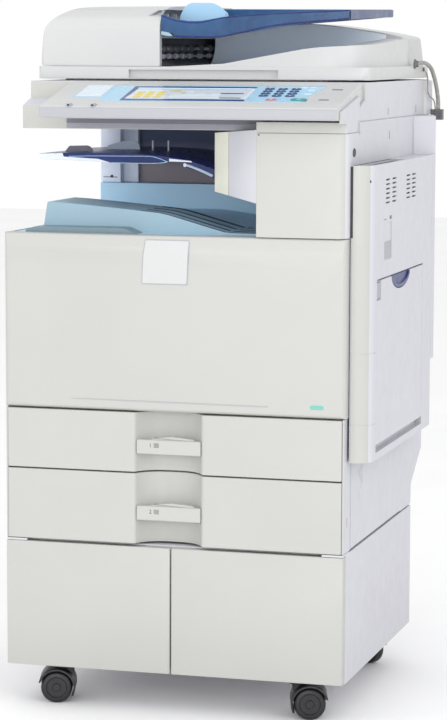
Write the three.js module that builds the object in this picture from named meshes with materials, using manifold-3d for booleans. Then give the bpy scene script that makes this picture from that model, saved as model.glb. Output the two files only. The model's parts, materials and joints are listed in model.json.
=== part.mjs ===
// A floor-standing colour photocopier: two paper drawers and a print engine on a castered cabinet,
// an output bay, a flatbed scanner with a sloped control panel, and a document feeder on top.
// Millimetres. +X is the operator's right, +Y points to the back, +Z is up, and the floor is z = 0.
// Pieces are placed from the cabinet's front left corner; the last lines centre the machine.
import * as THREE from "three";
import { mergeVertices } from "three/addons/utils/BufferGeometryUtils.js";
import Module from "manifold-3d";

const wasm = await Module();
wasm.setup();

// ---------------------------------------------------------------- driving dimensions
const WIDTH = 550; // the body between its side faces
const DOOR_OUT = 586; // outermost face on the right
const FRONT_LIP = -43; // front edge of the control panel
const REAR = 612;
const GAP = 0.4; // clearance between pieces that sit face to face
const SEAM = 2.2; // the visible gap between two fronts
const WALL = 3; // moulded cover thickness

const CABINET = { bottom: 64, top: 268.4, depth: 497, door: 18 };
const FEED = { bottom: 271, top: 480.6, split: 384.3 };
const ENGINE = { bottom: 481.4, deck: 748, front: 26, back: 560 };
const BAY = { floor: 757, top: 916.6, back: 474 };
const COLUMN = { left: 409, right: 552.5 };
const BODY_REAR = 580;
const CHAMFER = { low: 304, high: 357 }; // slope from the cabinet's back out to the body's back
const SIDE_DOOR = { inner: 553.2, front: 20, back: 474, bottom: 412, top: 868 };
const BYPASS = { front: 60.5, back: 402.5, bottom: 433, top: 691.5, slot: 10 }; // slot: finger gap below it
const LOWER_DOOR = { front: 47.4, back: 410, bottom: 272.6, top: 411, out: 551.6 };
const SCANNER = { bottom: 917, top: 992, front: 86 };
const PANEL = { left: 74, right: 546, lip: 937, frontTop: 955, rear: 80, rearTop: 985 };
const ADF = { front: 154, bottom: 995, top: 1015, feedRight: 205, wall: 474 };
const RECESS = { left: 214, right: 324, depth: 32 }; // finger recess in each drawer front

const ROUND_STEPS = 4; // facets on a rounded corner
const DISC_STEPS = 24; // facets round a wheel or roller

// ---------------------------------------------------------------- materials
const paint = (color, roughness, metalness = 0) =>
  new THREE.MeshStandardMaterial({ color, roughness, metalness });

const WARM_WHITE = paint(0xe3e4dd, 0.5);
const COOL_WHITE = paint(0xe4e4ea, 0.5);
const BAY_BLUE = paint(0x7fa3bf, 0.45);
const PANEL_BLUE = paint(0xa9cfe6, 0.35);
const GUIDE_BLUE = paint(0xa6cde8, 0.35);
const CLEAR_BLUE = new THREE.MeshStandardMaterial({
  color: 0x2b4a8c,
  roughness: 0.15,
  transparent: true,
  opacity: 0.6,
});
const KEY_NAVY = paint(0x24406e, 0.4);
const KEY_GREEN = paint(0x2f9a94, 0.4);
const KEY_RED = paint(0xcf5a54, 0.4);
const SCREEN = paint(0xcfd8e6, 0.15);
const GLASS = new THREE.MeshStandardMaterial({
  color: 0xc4d2d4,
  roughness: 0.05,
  transparent: true,
  opacity: 0.35,
});
const DARK = paint(0x25272b, 0.5);
const CASTER_BLACK = paint(0x141416, 0.45);
const CABLE_GREY = paint(0x9a9a94, 0.5);
const STEEL = paint(0xb4b7ba, 0.35, 0.8);
const TONERS = {
  black: paint(0x2b2b2e, 0.5),
  cyan: paint(0x2f93c8, 0.5),
  magenta: paint(0xc53b86, 0.5),
  yellow: paint(0xe4c93a, 0.5),
};

// ---------------------------------------------------------------- shaping helpers
const machine = new THREE.Group();

function toSolid(geometry) {
  const bare = geometry.index ? geometry.toNonIndexed() : geometry.clone();
  bare.deleteAttribute("normal");
  bare.deleteAttribute("uv");
  const merged = mergeVertices(bare, 1e-4);
  return new wasm.Manifold(
    new wasm.Mesh({
      numProp: 3,
      vertProperties: merged.attributes.position.array,
      triVerts: new Uint32Array(merged.index.array),
    }),
  );
}

function toGeometry(solid) {
  const mesh = solid.getMesh();
  return new THREE.BufferGeometry()
    .setAttribute("position", new THREE.BufferAttribute(new Float32Array(mesh.vertProperties), 3))
    .setIndex(new THREE.BufferAttribute(new Uint32Array(mesh.triVerts), 1))
    .toNonIndexed();
}

function join(first, ...others) {
  return toGeometry(others.reduce((solid, g) => solid.add(toSolid(g)), toSolid(first)));
}

function cut(body, ...tools) {
  return toGeometry(tools.reduce((solid, g) => solid.subtract(toSolid(g)), toSolid(body)));
}

function overlap(first, second) {
  return toGeometry(toSolid(first).intersect(toSolid(second)));
}

function addPiece(name, material, geometry, parent = machine) {
  geometry.computeVertexNormals();
  const mesh = new THREE.Mesh(geometry, material);
  mesh.name = name;
  parent.add(mesh);
  return mesh;
}

function box(x0, x1, y0, y1, z0, z1) {
  return new THREE.BoxGeometry(x1 - x0, y1 - y0, z1 - z0).translate(
    (x0 + x1) / 2,
    (y0 + y1) / 2,
    (z0 + z1) / 2,
  );
}

// A closed outline through [u, v, radius] corners; a radius rounds its corner.
function outline(corners) {
  const shape = new THREE.Shape();
  corners.forEach(([u, v, radius = 0], i) => {
    const corner = new THREE.Vector2(u, v);
    const before = new THREE.Vector2(...corners.at(i - 1));
    const after = new THREE.Vector2(...corners[(i + 1) % corners.length]);
    const start = corner.clone().add(before.sub(corner).setLength(radius));
    const end = corner.clone().add(after.sub(corner).setLength(radius));
    if (i === 0) shape.moveTo(start.x, start.y);
    else shape.lineTo(start.x, start.y);
    if (radius > 0) shape.quadraticCurveTo(u, v, end.x, end.y);
  });
  shape.closePath();
  return shape;
}

function extrude(corners, depth, steps) {
  const options = { depth, bevelEnabled: false, curveSegments: steps };
  return new THREE.ExtrudeGeometry(outline(corners), options);
}

// An outline in (y, z) swept along x.
function alongX(corners, x0, x1, steps = ROUND_STEPS) {
  const turn = new THREE.Matrix4().set(0, 0, 1, x0, 1, 0, 0, 0, 0, 1, 0, 0, 0, 0, 0, 1);
  return extrude(corners, x1 - x0, steps).applyMatrix4(turn);
}

// An outline in (x, z) swept along y.
function alongY(corners, y0, y1, steps = ROUND_STEPS) {
  const turn = new THREE.Matrix4().set(1, 0, 0, 0, 0, 0, -1, y1, 0, 1, 0, 0, 0, 0, 0, 1);
  return extrude(corners, y1 - y0, steps).applyMatrix4(turn);
}

// An outline in (x, y) swept along z.
function alongZ(corners, z0, z1, steps = ROUND_STEPS) {
  return extrude(corners, z1 - z0, steps).translate(0, 0, z0);
}

// Cylinders along each axis, with a facet facing down so that a wheel stands on it.
function cylinderX(radius, y, z, x0, x1, steps = DISC_STEPS) {
  return new THREE.CylinderGeometry(radius, radius, x1 - x0, steps)
    .rotateY(Math.PI / steps)
    .rotateZ(Math.PI / 2)
    .translate((x0 + x1) / 2, y, z);
}

function cylinderY(radius, x, z, y0, y1, steps = DISC_STEPS) {
  return new THREE.CylinderGeometry(radius, radius, y1 - y0, steps)
    .rotateY(Math.PI / steps)
    .translate(x, (y0 + y1) / 2, z);
}

function cylinderZ(radius, x, y, z0, z1, steps = DISC_STEPS) {
  return new THREE.CylinderGeometry(radius, radius, z1 - z0, steps)
    .rotateX(Math.PI / 2)
    .translate(x, y, (z0 + z1) / 2);
}

// ---------------------------------------------------------------- casters and cabinet
const CASTER = { radius: 25, trail: 14, hubHalf: 7, wheelIn: 9, wheelOut: 29, axle: 4 };
const CASTERS = [
  { place: "front_left", x: 80, y: 56, yaw: -74 },
  { place: "front_right", x: 470, y: 56, yaw: 106 },
  { place: "rear_left", x: 80, y: 440, yaw: 25 },
  { place: "rear_right", x: 470, y: 440, yaw: 60 },
];

// The forked body: a round cap on the swivel pin, a web between the wheels and a fender over them.
function casterSwivel() {
  const { radius, trail, hubHalf, wheelOut, axle } = CASTER;
  const fenderOut = radius + 5;
  const web = alongX(
    [
      [-trail - 27, radius + 2, 4],
      [-trail - 20, radius + 22, 8],
      [-6, 59, 4],
      [14, 59, 3],
      [13, 44, 6],
      [-4, radius - 8, 6],
      [-trail - 12, radius - 8, 6],
    ],
    -hubHalf,
    hubHalf,
  );
  const fender = cut(
    cylinderX(fenderOut, -trail, radius, -wheelOut - 2, wheelOut + 2),
    cylinderX(radius + 2.2, -trail, radius, -wheelOut - 3, wheelOut + 3),
    box(-wheelOut - 3, wheelOut + 3, -60, -trail + 6, -10, radius + 8),
    box(-wheelOut - 3, wheelOut + 3, -trail + 5, 40, -10, 12),
  );
  const bore = cylinderX(axle + 0.4, -trail, radius, -hubHalf - 1, hubHalf + 1, 16);
  return cut(join(web, fender, cylinderZ(19, 0, 0, 54, CABINET.bottom - GAP)), bore);
}

// Two plain discs on one axle.
function casterWheels() {
  const { radius, trail, wheelIn, wheelOut, axle } = CASTER;
  const tread = radius / Math.cos(Math.PI / DISC_STEPS);
  return join(
    cylinderX(tread, -trail, radius, -wheelOut, -wheelIn),
    cylinderX(tread, -trail, radius, wheelIn, wheelOut),
    cylinderX(axle, -trail, radius, -wheelOut, wheelOut, 16),
  );
}

function addCasters() {
  for (const { place, x, y, yaw } of CASTERS) {
    const caster = new THREE.Group();
    caster.position.set(x, y, 0);
    caster.rotation.z = THREE.MathUtils.degToRad(yaw);
    machine.add(caster);
    addPiece(`caster_swivel_${place}`, CASTER_BLACK, casterSwivel(), caster);
    addPiece(`caster_wheel_${place}`, CASTER_BLACK, casterWheels(), caster);
  }
}

// An open-fronted box on the casters, with a tab at each top front corner.
function addCabinet() {
  const { bottom, top, depth, door } = CABINET;
  const shell = cut(
    box(0, WIDTH, door + 1.4, depth, bottom, top),
    box(12, WIDTH - 12, door, depth - 12, bottom + 14, top - 12),
  );
  const tabs = [0, WIDTH - 34].map((x) => box(x, x + 34, 1, 42, top - 1.2, top + 2.1));
  addPiece("cabinet_shell", WARM_WHITE, join(shell, ...tabs));

  const doorTop = top - 1.8;
  for (const [side, x0, x1] of [
    ["left", 0, 272.5 - SEAM / 2],
    ["right", 272.5 + SEAM / 2, WIDTH],
  ]) {
    const plan = [
      [x0, 0, 2.5],
      [x1, 0, 2.5],
      [x1, door, 2.5],
      [x0, door, 2.5],
    ];
    addPiece(`cabinet_door_${side}`, WARM_WHITE, alongZ(plan, bottom + 2, doorTop, 3));
  }
}

// ---------------------------------------------------------------- paper drawers
// The housing of both drawers: its back slopes out to the body's back.
function addFeedUnit() {
  const profile = [
    [2, FEED.bottom],
    [CABINET.depth, FEED.bottom],
    [CABINET.depth, CHAMFER.low],
    [BODY_REAR, CHAMFER.high],
    [BODY_REAR, FEED.top],
    [2, FEED.top],
  ];
  const cavity = (z0, z1) => box(14, WIDTH - 14, 20, 472, z0, z1);
  const housing = cut(
    alongX(profile, 0, WIDTH),
    box(3, WIDTH - 3, 1, 24, FEED.bottom - 1, FEED.top + 1),
    box(RECESS.left - 24, RECESS.right + 24, 1, 44, FEED.bottom - 1, FEED.top + 1),
    cavity(FEED.bottom + 5, FEED.split - 6),
    cavity(FEED.split + 6, FEED.top - 5),
    box(WIDTH - 16, WIDTH + 1, LOWER_DOOR.front - GAP, LOWER_DOOR.back + GAP, 270, LOWER_DOOR.top + 1),
  );
  addPiece("feed_unit_housing", COOL_WHITE, housing);
  addDrawer("tray_2", FEED.bottom + 0.6, FEED.split - SEAM / 2);
  addDrawer("tray_1", FEED.split + SEAM / 2, ENGINE.bottom - SEAM);
}

// A full-width front with a finger recess and a pull bar across it, and the open paper box behind.
function addDrawer(name, z0, z1) {
  const { left, right, depth } = RECESS;
  const inset = 18;
  const plan = [
    [3.4, 0, 2],
    [left, 0, 4],
    [left + inset, depth, 30],
    [right - inset, depth, 30],
    [right, 0, 4],
    [WIDTH - 3.4, 0, 2],
    [WIDTH - 3.4, 18],
    [right + 20, 18],
    [right + 12, 40],
    [left - 12, 40],
    [left - 20, 18],
    [3.4, 18],
  ];
  const barTop = (z0 + z1) / 2 + 9;
  const bar = [
    [left + 2, barTop - 24],
    [right - 2, barTop - 24],
    [right - 2, barTop - 3, 2],
    [(left + right) / 2, barTop + 5, 40],
    [left + 2, barTop - 3, 2],
  ];
  addPiece(`${name}_front`, WARM_WHITE, join(alongZ(plan, z0, z1, 6), alongY(bar, 1, 9)));

  const tray = cut(
    box(18, WIDTH - 18, 41, 462, z0 + 8, z1 - 8),
    box(21, WIDTH - 21, 44, 459, z0 + 12, z1),
  );
  addPiece(`${name}_box`, COOL_WHITE, tray);
}

// ---------------------------------------------------------------- print engine
const TONER = { first: 85, pitch: 92, z: 672, radius: 35 };

// Plates round the process units, open at the front ports and behind the right door, with the
// rear tower and the column core that carry the scanner.
function addEngineFrame() {
  const { bottom, deck, front, back } = ENGINE;
  const shell = cut(
    box(3, WIDTH - GAP, front, back, bottom, deck),
    box(12, WIDTH + 1, front + 8, back - 20, bottom + 9, deck - 12),
    box(60, 425, front - 1, front + 9, 520, 604),
    ...Object.keys(TONERS).map((_, i) =>
      cylinderY(TONER.radius + 4, TONER.first + i * TONER.pitch, TONER.z, front - 1, front + 9),
    ),
  );
  const shelf = box(11, 412, front + 7, 436, TONER.z - TONER.radius - 14, TONER.z - TONER.radius - 3);
  const tower = cut(
    box(3, WIDTH - GAP, BAY.back + GAP, back, deck - 2, BAY.top),
    box(20, 530, BAY.back + 12, back + 1, deck + 8, BAY.top - 10),
  );
  const core = join(
    box(COLUMN.left + 8, COLUMN.right - 8, front + 1, BAY.back + 2, deck - 2, BAY.top),
    box(COLUMN.left + 8, COLUMN.right - 8, 10, front + 2, BAY.floor + 1, BAY.top),
  );
  const slot = box(COLUMN.left + 20, COLUMN.right - 7, 24, BAY.back - 12, deck + 14, BAY.top - 12);
  addPiece("engine_frame", STEEL, join(shell, shelf, tower, cut(core, slot)));
}

// A toner bottle: a long drum with a narrower grip at the front.
function tonerBottle(x) {
  const { z, radius } = TONER;
  const y = ENGINE.front + 3;
  return join(
    cylinderY(radius, x, z, y + 14, 426),
    cylinderY(radius - 7, x, z, y + 4, y + 15),
    box(x - 3, x + 3, y - 1, y + 8, z - 22, z + 22),
  );
}

function addProcessUnits() {
  Object.entries(TONERS).forEach(([colour, material], i) => {
    const bottle = tonerBottle(TONER.first + i * TONER.pitch);
    addPiece(`toner_bottle_${colour}`, material, bottle);
  });
  const loop = (grow) => [
    [70 - grow, 545 - grow, 22 + grow],
    [400 + grow, 545 - grow, 22 + grow],
    [400 + grow, 592 + grow, 22 + grow],
    [70 - grow, 592 + grow, 22 + grow],
  ];
  const belt = cut(alongY(loop(0), 60, 430, 6), alongY(loop(-2), 59, 431, 6));
  addPiece("transfer_belt", DARK, belt);
  addPiece("fuser_heat_roller", DARK, cylinderY(17, 478, 690, 66, 448));
  addPiece("fuser_pressure_roller", DARK, cylinderY(17, 512.6, 690, 66, 448));
}

// A moulded hood over the toner ports: both vertical edges and the top edge are rounded.
function addFrontCover() {
  const [left, right, back] = [-2, WIDTH + 2, 24];
  const profile = [
    [0, ENGINE.bottom, 7],
    [back, ENGINE.bottom],
    [back, BAY.floor - GAP],
    [0, BAY.floor - GAP, 5],
  ];
  const plan = [
    [left, 0, 10],
    [right, 0, 10],
    [right, back],
    [left, back],
  ];
  const z = [ENGINE.bottom - 1, BAY.floor + 1];
  const skin = overlap(alongX(profile, left, right), alongZ(plan, ...z));
  const hollow = box(left + WALL + 2, right - WALL - 2, 5, back + 1, ENGINE.bottom + 10, BAY.floor - 5);
  addPiece("front_cover", WARM_WHITE, cut(skin, hollow));
}

function addBodyCovers() {
  const left = box(0, 2.6, ENGINE.front, ENGINE.back, ENGINE.bottom, BAY.floor - GAP);
  addPiece("left_cover", COOL_WHITE, left);

  // The right edge wraps round to the side: square beside the door, sloped above it.
  const plate = box(0, WIDTH, ENGINE.back + 0.5, BODY_REAR, ENGINE.bottom, BAY.top);
  const wing = (z0, z1, ...front) =>
    alongZ(
      [
        [WIDTH + GAP, 476],
        ...front,
        [566, 520, 6],
        [566, BODY_REAR],
        [WIDTH + GAP, BODY_REAR],
      ],
      z0,
      z1,
    );
  const lower = wing(524, SIDE_DOOR.top + GAP, [DOOR_OUT, 476, 3], [DOOR_OUT, 504, 8]);
  const upper = wing(SIDE_DOOR.top, 932, [553, 476, 1], [DOOR_OUT, 509, 6]);
  const edge = box(WIDTH - 1, WIDTH + 1, ENGINE.back + 0.5, BODY_REAR, 524, BAY.top);
  const inlet = box(60, 88, BODY_REAR - 12, BODY_REAR + 1, 500, 520);
  addPiece("rear_cover", COOL_WHITE, cut(join(plate, lower, upper, edge), inlet));
}

// ---------------------------------------------------------------- doors on the right side
function addRightDoor() {
  const { inner, front, back, bottom, top } = SIDE_DOOR;
  const plan = (x0, inset, round) => [
    [x0, front + inset],
    [DOOR_OUT - inset, front + inset, round],
    [DOOR_OUT - inset, back - inset, 3],
    [x0, back - inset],
  ];
  const shell = cut(
    alongZ(plan(inner, 0, 26), bottom, top, 6),
    alongZ(plan(inner - 1, WALL, 23), bottom + WALL, top - WALL, 6),
  );
  const floor = box(566, DOOR_OUT - 1, BYPASS.front - 9, BYPASS.back + 9, bottom + 1, BYPASS.top + 9);
  const recess = box(
    575.4,
    DOOR_OUT + 1,
    BYPASS.front - GAP,
    BYPASS.back + GAP,
    BYPASS.bottom - BYPASS.slot,
    BYPASS.top + GAP,
  );
  addPiece("right_door", COOL_WHITE, cut(join(shell, floor), recess));

  const tray = alongY(
    [
      [576, BYPASS.bottom, 4.5],
      [DOOR_OUT, BYPASS.bottom, 4.5],
      [DOOR_OUT, BYPASS.top, 1],
      [576, BYPASS.top, 1],
    ],
    BYPASS.front,
    BYPASS.back,
    6,
  );
  addPiece("bypass_tray", COOL_WHITE, tray);
}

// The cover of the vertical paper path: a shallow box that stands just proud of the side.
function addLowerDoor() {
  const { front, back, bottom, top, out } = LOWER_DOOR;
  const profile = [
    [541, bottom, 2],
    [out, bottom, 3],
    [out, top, 3],
    [541, top],
  ];
  const hollow = box(530, out - 4, front + 4, back - 4, bottom + 5, top - 6);
  addPiece("lower_right_door", COOL_WHITE, cut(alongY(profile, front, back), hollow));
}

// ---------------------------------------------------------------- output bay
// The paper rest: a front rail that falls to the right, a lower bed behind it, and a rear ledge.
function addOutputTray() {
  const under = ENGINE.deck + GAP;
  const right = COLUMN.left - 1;
  const rail = { front: 60, back: 180, wall: 6 };
  const railTop = [
    [40, under],
    [44, 765],
    [50, 802.5, 3],
    [81, 801, 10],
    [139, 796.5, 20],
    [241, 787.5, 14],
    [345, 759, 8],
    [right, 758.5],
    [right, under],
  ];
  const railHollow = [
    [48, under - 1],
    [53, 765],
    [57, 795],
    [81, 795],
    [139, 790.5],
    [238, 781.5],
    [326, under + 3],
    [328, under - 1],
  ];
  const bedTop = [
    [42, under],
    [46, 766],
    [50, 772, 3],
    [235, 772, 30],
    [334, 758],
    [338, under],
  ];
  const bedHollow = [
    [50, under - 1],
    [54, 764],
    [58, 766],
    [233, 766],
    [306, under + 3],
    [308, under - 1],
  ];
  const plate = box(6, right, ENGINE.front + 0.5, BAY.back - GAP, under, 756);
  const wall = alongY(
    [
      [20, under],
      [27, 761, 3],
      [42, 765],
      [190, 765, 6],
      [209, 756],
      [209, under],
    ],
    ENGINE.front + 0.5,
    62,
  );
  const ledge = join(
    box(12, 298, 436, BAY.back - GAP, under, 814),
    box(297, right, 436, BAY.back - GAP, under, 804),
  );
  const humps = join(
    alongY(railTop, rail.front, rail.back + rail.wall),
    alongY(bedTop, rail.back + 1, 437),
  );
  const hollows = join(
    alongY(railHollow, rail.front + rail.wall, rail.back),
    alongY(bedHollow, rail.back + rail.wall, 430),
  );
  addPiece("output_tray", BAY_BLUE, cut(join(plate, wall, humps, ledge), hollows));
}

function addOneBinTray() {
  const profile = [
    [4, 865.5],
    [69, 862.5, 10],
    [150, 860, 20],
    [215, 857, 20],
    [262, 849, 16],
    [299, 838],
    [299, 853],
    [262, 865, 16],
    [215, 873, 20],
    [150, 877, 20],
    [69, 877.5, 20],
    [4, 874.5],
  ];
  addPiece("one_bin_tray", CLEAR_BLUE, alongY(profile, 150, 430));
}

function addBaySides() {
  const pillar = join(
    box(10, 46, 444, BAY.back - GAP, 814.4, BAY.top),
    box(46, 72, 462, BAY.back - GAP, 814.4, BAY.top),
  );
  addPiece("bay_pillar", COOL_WHITE, pillar);

  const { left, right } = COLUMN;
  const plan = (inset, round) => [
    [left + inset, inset, 2],
    [right - inset, inset, round],
    [right - inset, BAY.back - 4 + inset],
    [left + inset, BAY.back - 4 + inset],
  ];
  const column = cut(
    alongZ(plan(0, 18), BAY.floor + GAP, BAY.top, 6),
    alongZ(plan(WALL, 15), BAY.floor, BAY.top + 1, 6),
  );
  addPiece("column_cover", WARM_WHITE, column);

  const exitPlan = [
    [left - GAP, 10],
    [left - GAP, BAY.back - 4],
    [300, BAY.back - 4],
    [300, 150],
  ];
  const exitFace = [
    [299, 818],
    [left, 808],
    [left, 921],
    [299, 911],
  ];
  const exitHollow = [
    [left - 3, 24],
    [left - 3, BAY.back - 8],
    [305, BAY.back - 8],
    [305, 154],
  ];
  const exit = cut(
    overlap(alongZ(exitPlan, 800, 930), alongY(exitFace, 0, BAY.back)),
    alongZ(exitHollow, 822, 930),
    box(299, left, SCANNER.front - GAP, BAY.back, BAY.top - 1, 930),
  );
  addPiece("exit_cover", COOL_WHITE, exit);
}

// ---------------------------------------------------------------- scanner and control panel
const GLASS_AREA = { left: 40, right: 472, front: 190, back: 500 };

function addScanner() {
  const { bottom, top, front } = SCANNER;
  const profile = [
    [front, bottom],
    [REAR, bottom, 4],
    [REAR, top, 4],
    [124, top, 4],
    [124, 965],
    [front, 953],
  ];
  const { left, right, front: y0, back: y1 } = GLASS_AREA;
  const shelf = box(COLUMN.left, WIDTH, 1, front + 2, bottom, 933);
  const cheek = [
    [-31, 932],
    [front + 2, 932],
    [front + 2, 972],
    [-31, 950, 3],
  ];
  const hingeHousing = alongZ(
    [
      [WIDTH - 1, 548],
      [556.5, 554, 5],
      [556.5, REAR, 4],
      [WIDTH - 1, REAR],
    ],
    932.4,
    top - 2,
  );
  const housing = cut(
    join(alongX(profile, 0, WIDTH), shelf, alongX(cheek, PANEL.right + GAP, WIDTH), hingeHousing),
    box(12, WIDTH - 12, 140, REAR - 12, bottom + 9, top - 8),
    box(left, right, y0, y1, top - 4, top + 1),
    box(left + 9, right - 9, y0 + 9, y1 - 9, top - 9, top - 3),
  );
  addPiece("scanner_housing", WARM_WHITE, housing);
  const pane = box(left + GAP, right - GAP, y0 + GAP, y1 - GAP, top - 3.7, top - GAP);
  addPiece("platen_glass", GLASS, pane);
  addPiece("scan_carriage", DARK, box(54, 104, y0 + 4, y1 - 4, 955, 981));
}

const KEY = { width: 15, depth: 9, start: [24, 13], stop: [16, 9], pocket: 5, above: 1.4, below: 2.4 };
const KEY_COLUMNS = [413, 434, 455];
const KEY_ROWS = [66, 52.6, 39.3, 26];
const KEY_NAMES = ["1", "2", "3", "4", "5", "6", "7", "8", "9", "star", "0", "hash"];
const SCREEN_AREA = { left: 195, right: 388, front: 0, back: 70 };

// The sloped top's own frame: x, distance up the slope, height above it.
const slope = new THREE.Group();
const tilt = Math.atan2(PANEL.rearTop - PANEL.frontTop, PANEL.rear - FRONT_LIP);
slope.position.set(0, FRONT_LIP, PANEL.frontTop);
slope.rotation.x = tilt;
slope.updateMatrix();
machine.add(slope);
const upSlope = (y) => (y - FRONT_LIP) / Math.cos(tilt);

function addControlPanel() {
  const { left, right, lip, frontTop, rear, rearTop } = PANEL;
  const front = SCANNER.front;
  const profile = [
    [FRONT_LIP, lip, 3],
    [FRONT_LIP, frontTop, 4],
    [rear, rearTop],
    [123.6, SCANNER.top - GAP],
    [123.6, 965.6],
    [front - GAP, 953.6],
    [front - GAP, lip],
  ];
  const hollow = [
    [FRONT_LIP + 5, lip - 1],
    [FRONT_LIP + 5, frontTop - 9],
    [rear, rearTop - 9],
    [rear, lip - 1],
  ];
  const keys = keyLayout().map(({ x, y, size: [w, d] }) =>
    sloped(x - w / 2 - 0.5, x + w / 2 + 0.5, y, d / 2 + 0.5, -KEY.pocket, 2),
  );
  const { left: sx0, right: sx1, front: sy0, back: sy1 } = SCREEN_AREA;
  const half = (upSlope(sy1) - upSlope(sy0)) / 2;
  const well = sloped(sx0, sx1, (sy0 + sy1) / 2, half, -2.6, 2);
  const panel = cut(alongX(profile, left, right), alongX(hollow, left + 5, right - 5), well, ...keys);
  addPiece("operation_panel", WARM_WHITE, panel);

  const s = upSlope((sy0 + sy1) / 2);
  const screen = box(sx0 + GAP, sx1 - GAP, s - half + GAP, s + half - GAP, -2.2, 0.2);
  addPiece("touch_screen", SCREEN, screen, slope);
  for (const { name, x, y, size: [w, d], material } of keyLayout()) {
    const k = upSlope(y);
    const cap = box(x - w / 2, x + w / 2, k - d / 2, k + d / 2, -KEY.below, KEY.above);
    addPiece(name, material, cap, slope);
  }
}

// A box in the slope's frame, centred on depth y, turned into the machine's frame.
function sloped(x0, x1, y, half, n0, n1) {
  return box(x0, x1, upSlope(y) - half, upSlope(y) + half, n0, n1).applyMatrix4(slope.matrix);
}

function keyLayout() {
  const keys = KEY_NAMES.map((digit, i) => ({
    name: `key_${digit}`,
    x: KEY_COLUMNS[i % 3],
    y: KEY_ROWS[Math.floor(i / 3)],
    size: [KEY.width, KEY.depth],
    material: KEY_NAVY,
  }));
  keys.push({ name: "start_key", x: 474, y: 5, size: KEY.start, material: KEY_GREEN });
  keys.push({ name: "stop_key", x: 431, y: 4, size: KEY.stop, material: KEY_RED });
  return keys;
}

// ---------------------------------------------------------------- document feeder
function addFeeder() {
  const { front, bottom, top, feedRight, wall } = ADF;
  const plan = [
    [0, front, 14],
    [WIDTH, front, 14],
    [WIDTH, REAR, 14],
    [0, REAR, 14],
  ];
  const side = [
    [front, bottom, 2],
    [REAR, bottom, 9],
    [REAR, top],
    [front, top],
  ];
  const base = overlap(alongZ(plan, bottom, top), alongX(side, 0, WIDTH));

  // The output bed right of the feed unit: a wedge along its front, a wall behind it and an end wall.
  const bedLeft = feedRight + 1;
  const bedPlan = [
    [bedLeft, front + 4],
    [541, front + 4, 90],
    [541, REAR - 2, 8],
    [bedLeft, REAR - 2],
  ];
  const across = (corners, y0, y1) => alongY([[541, top - 1], ...corners, [bedLeft, top - 1]], y0, y1);
  const wedge = across([[541, 1050, 6], [455, 1046, 30], [312, 1020]], front + 4, front + 46);
  const bed = across([[541, 1044], [470, 1033, 20], [330, 1018.5]], front + 45, wall + 1);
  const backWall = across([[534, 1063, 6], [497, 1071, 20], [380, 1087, 40], [bedLeft, 1080]], wall, REAR);
  const endWall = [
    [front + 45, top - 1],
    [wall + 1, top - 1],
    [wall + 1, 1061],
    [front + 45, 1050],
  ];
  const bin = overlap(
    join(wedge, bed, backWall, alongX(endWall, 505, 541)),
    alongZ(bedPlan, top - 1, 1100, 8),
  );
  const feed = box(30, 190, front + 26, 590, top - 1, 1056);
  const handle = box(155, 402, front - 1, front + 9, bottom + 2, bottom + 15);
  addPiece("adf_base", WARM_WHITE, cut(join(base, bin, feed), handle));

  const skin = [
    [2, top + 0.5, 7],
    [6, 1046, 8],
    [10, 1076, 8],
    [27, 1094, 9],
    [46, 1107, 7],
    [72, 1111, 12],
    [feedRight, 1113],
    [feedRight, top + 0.5],
  ];
  const hollow = [
    [9, top - 1],
    [14, 1073],
    [31, 1089],
    [49, 1102.5],
    [74, 1106],
    [feedRight - 4, 1108],
    [feedRight - 4, top - 1],
  ];
  const cover = cut(
    alongY(skin, front + 6, REAR - 8),
    alongY(hollow, front + 11, REAR - 13),
    box(feedRight - 5, feedRight + 1, front + 18, 500, 1076, 1106),
    box(feedRight - 5, feedRight + 1, front + 18, 500, top, 1060),
  );
  addPiece("adf_feed_cover", WARM_WHITE, cover);
}

// A thin plate that rises to the right, with a deep skirt along its front and a rail along its back.
function addDocumentTray() {
  const [left, right] = [ADF.feedRight + 1.5, 517];
  const [front, back] = [ADF.front + 8, 470];
  const skirt = [
    [left, 1067],
    [228, 1061, 12],
    [309, 1061, 30],
    [398, 1079, 40],
    [right, 1089],
    [right, 1105, 3],
    [373, 1099, 30],
    [309, 1094, 16],
    [270, 1086, 18],
    [233, 1089, 14],
    [left, 1098, 4],
  ];
  const plate = [
    [left, 1079],
    [300, 1079, 20],
    [373, 1090, 20],
    [right, 1096],
    [right, 1101],
    [373, 1094, 20],
    [300, 1083, 20],
    [left, 1083],
  ];
  const rail = [
    [left + 8, 1080],
    [300, 1080],
    [373, 1091],
    [right, 1097],
    [right, 1109, 3],
    [left + 8, 1110, 3],
  ];
  const tray = join(
    alongY(skirt, front, front + 4),
    alongY(plate, front + 3, back - 3),
    alongY(rail, back - 4, back),
  );
  addPiece("document_tray", CLEAR_BLUE, tray);

  const fence = (right, peak, round) => [
    [214, 1083.6],
    [214, 1096, 5],
    [224, peak, round],
    [right - 18, peak, round],
    [right, 1102, 6],
    [right, 1083.6],
  ];
  const foot = (right, y0, y1) => box(214, right, y0, y1, 1083.6, 1086);
  const low = join(alongY(fence(254, 1112, 5), 384, 389), foot(254, 366, 385));
  const frontGuide = join(alongY(fence(290, 1117, 16), 243, 248), foot(290, 247, 266));
  addPiece("document_guide_front", GUIDE_BLUE, frontGuide);
  addPiece("document_guide_rear", GUIDE_BLUE, low);
}

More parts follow.
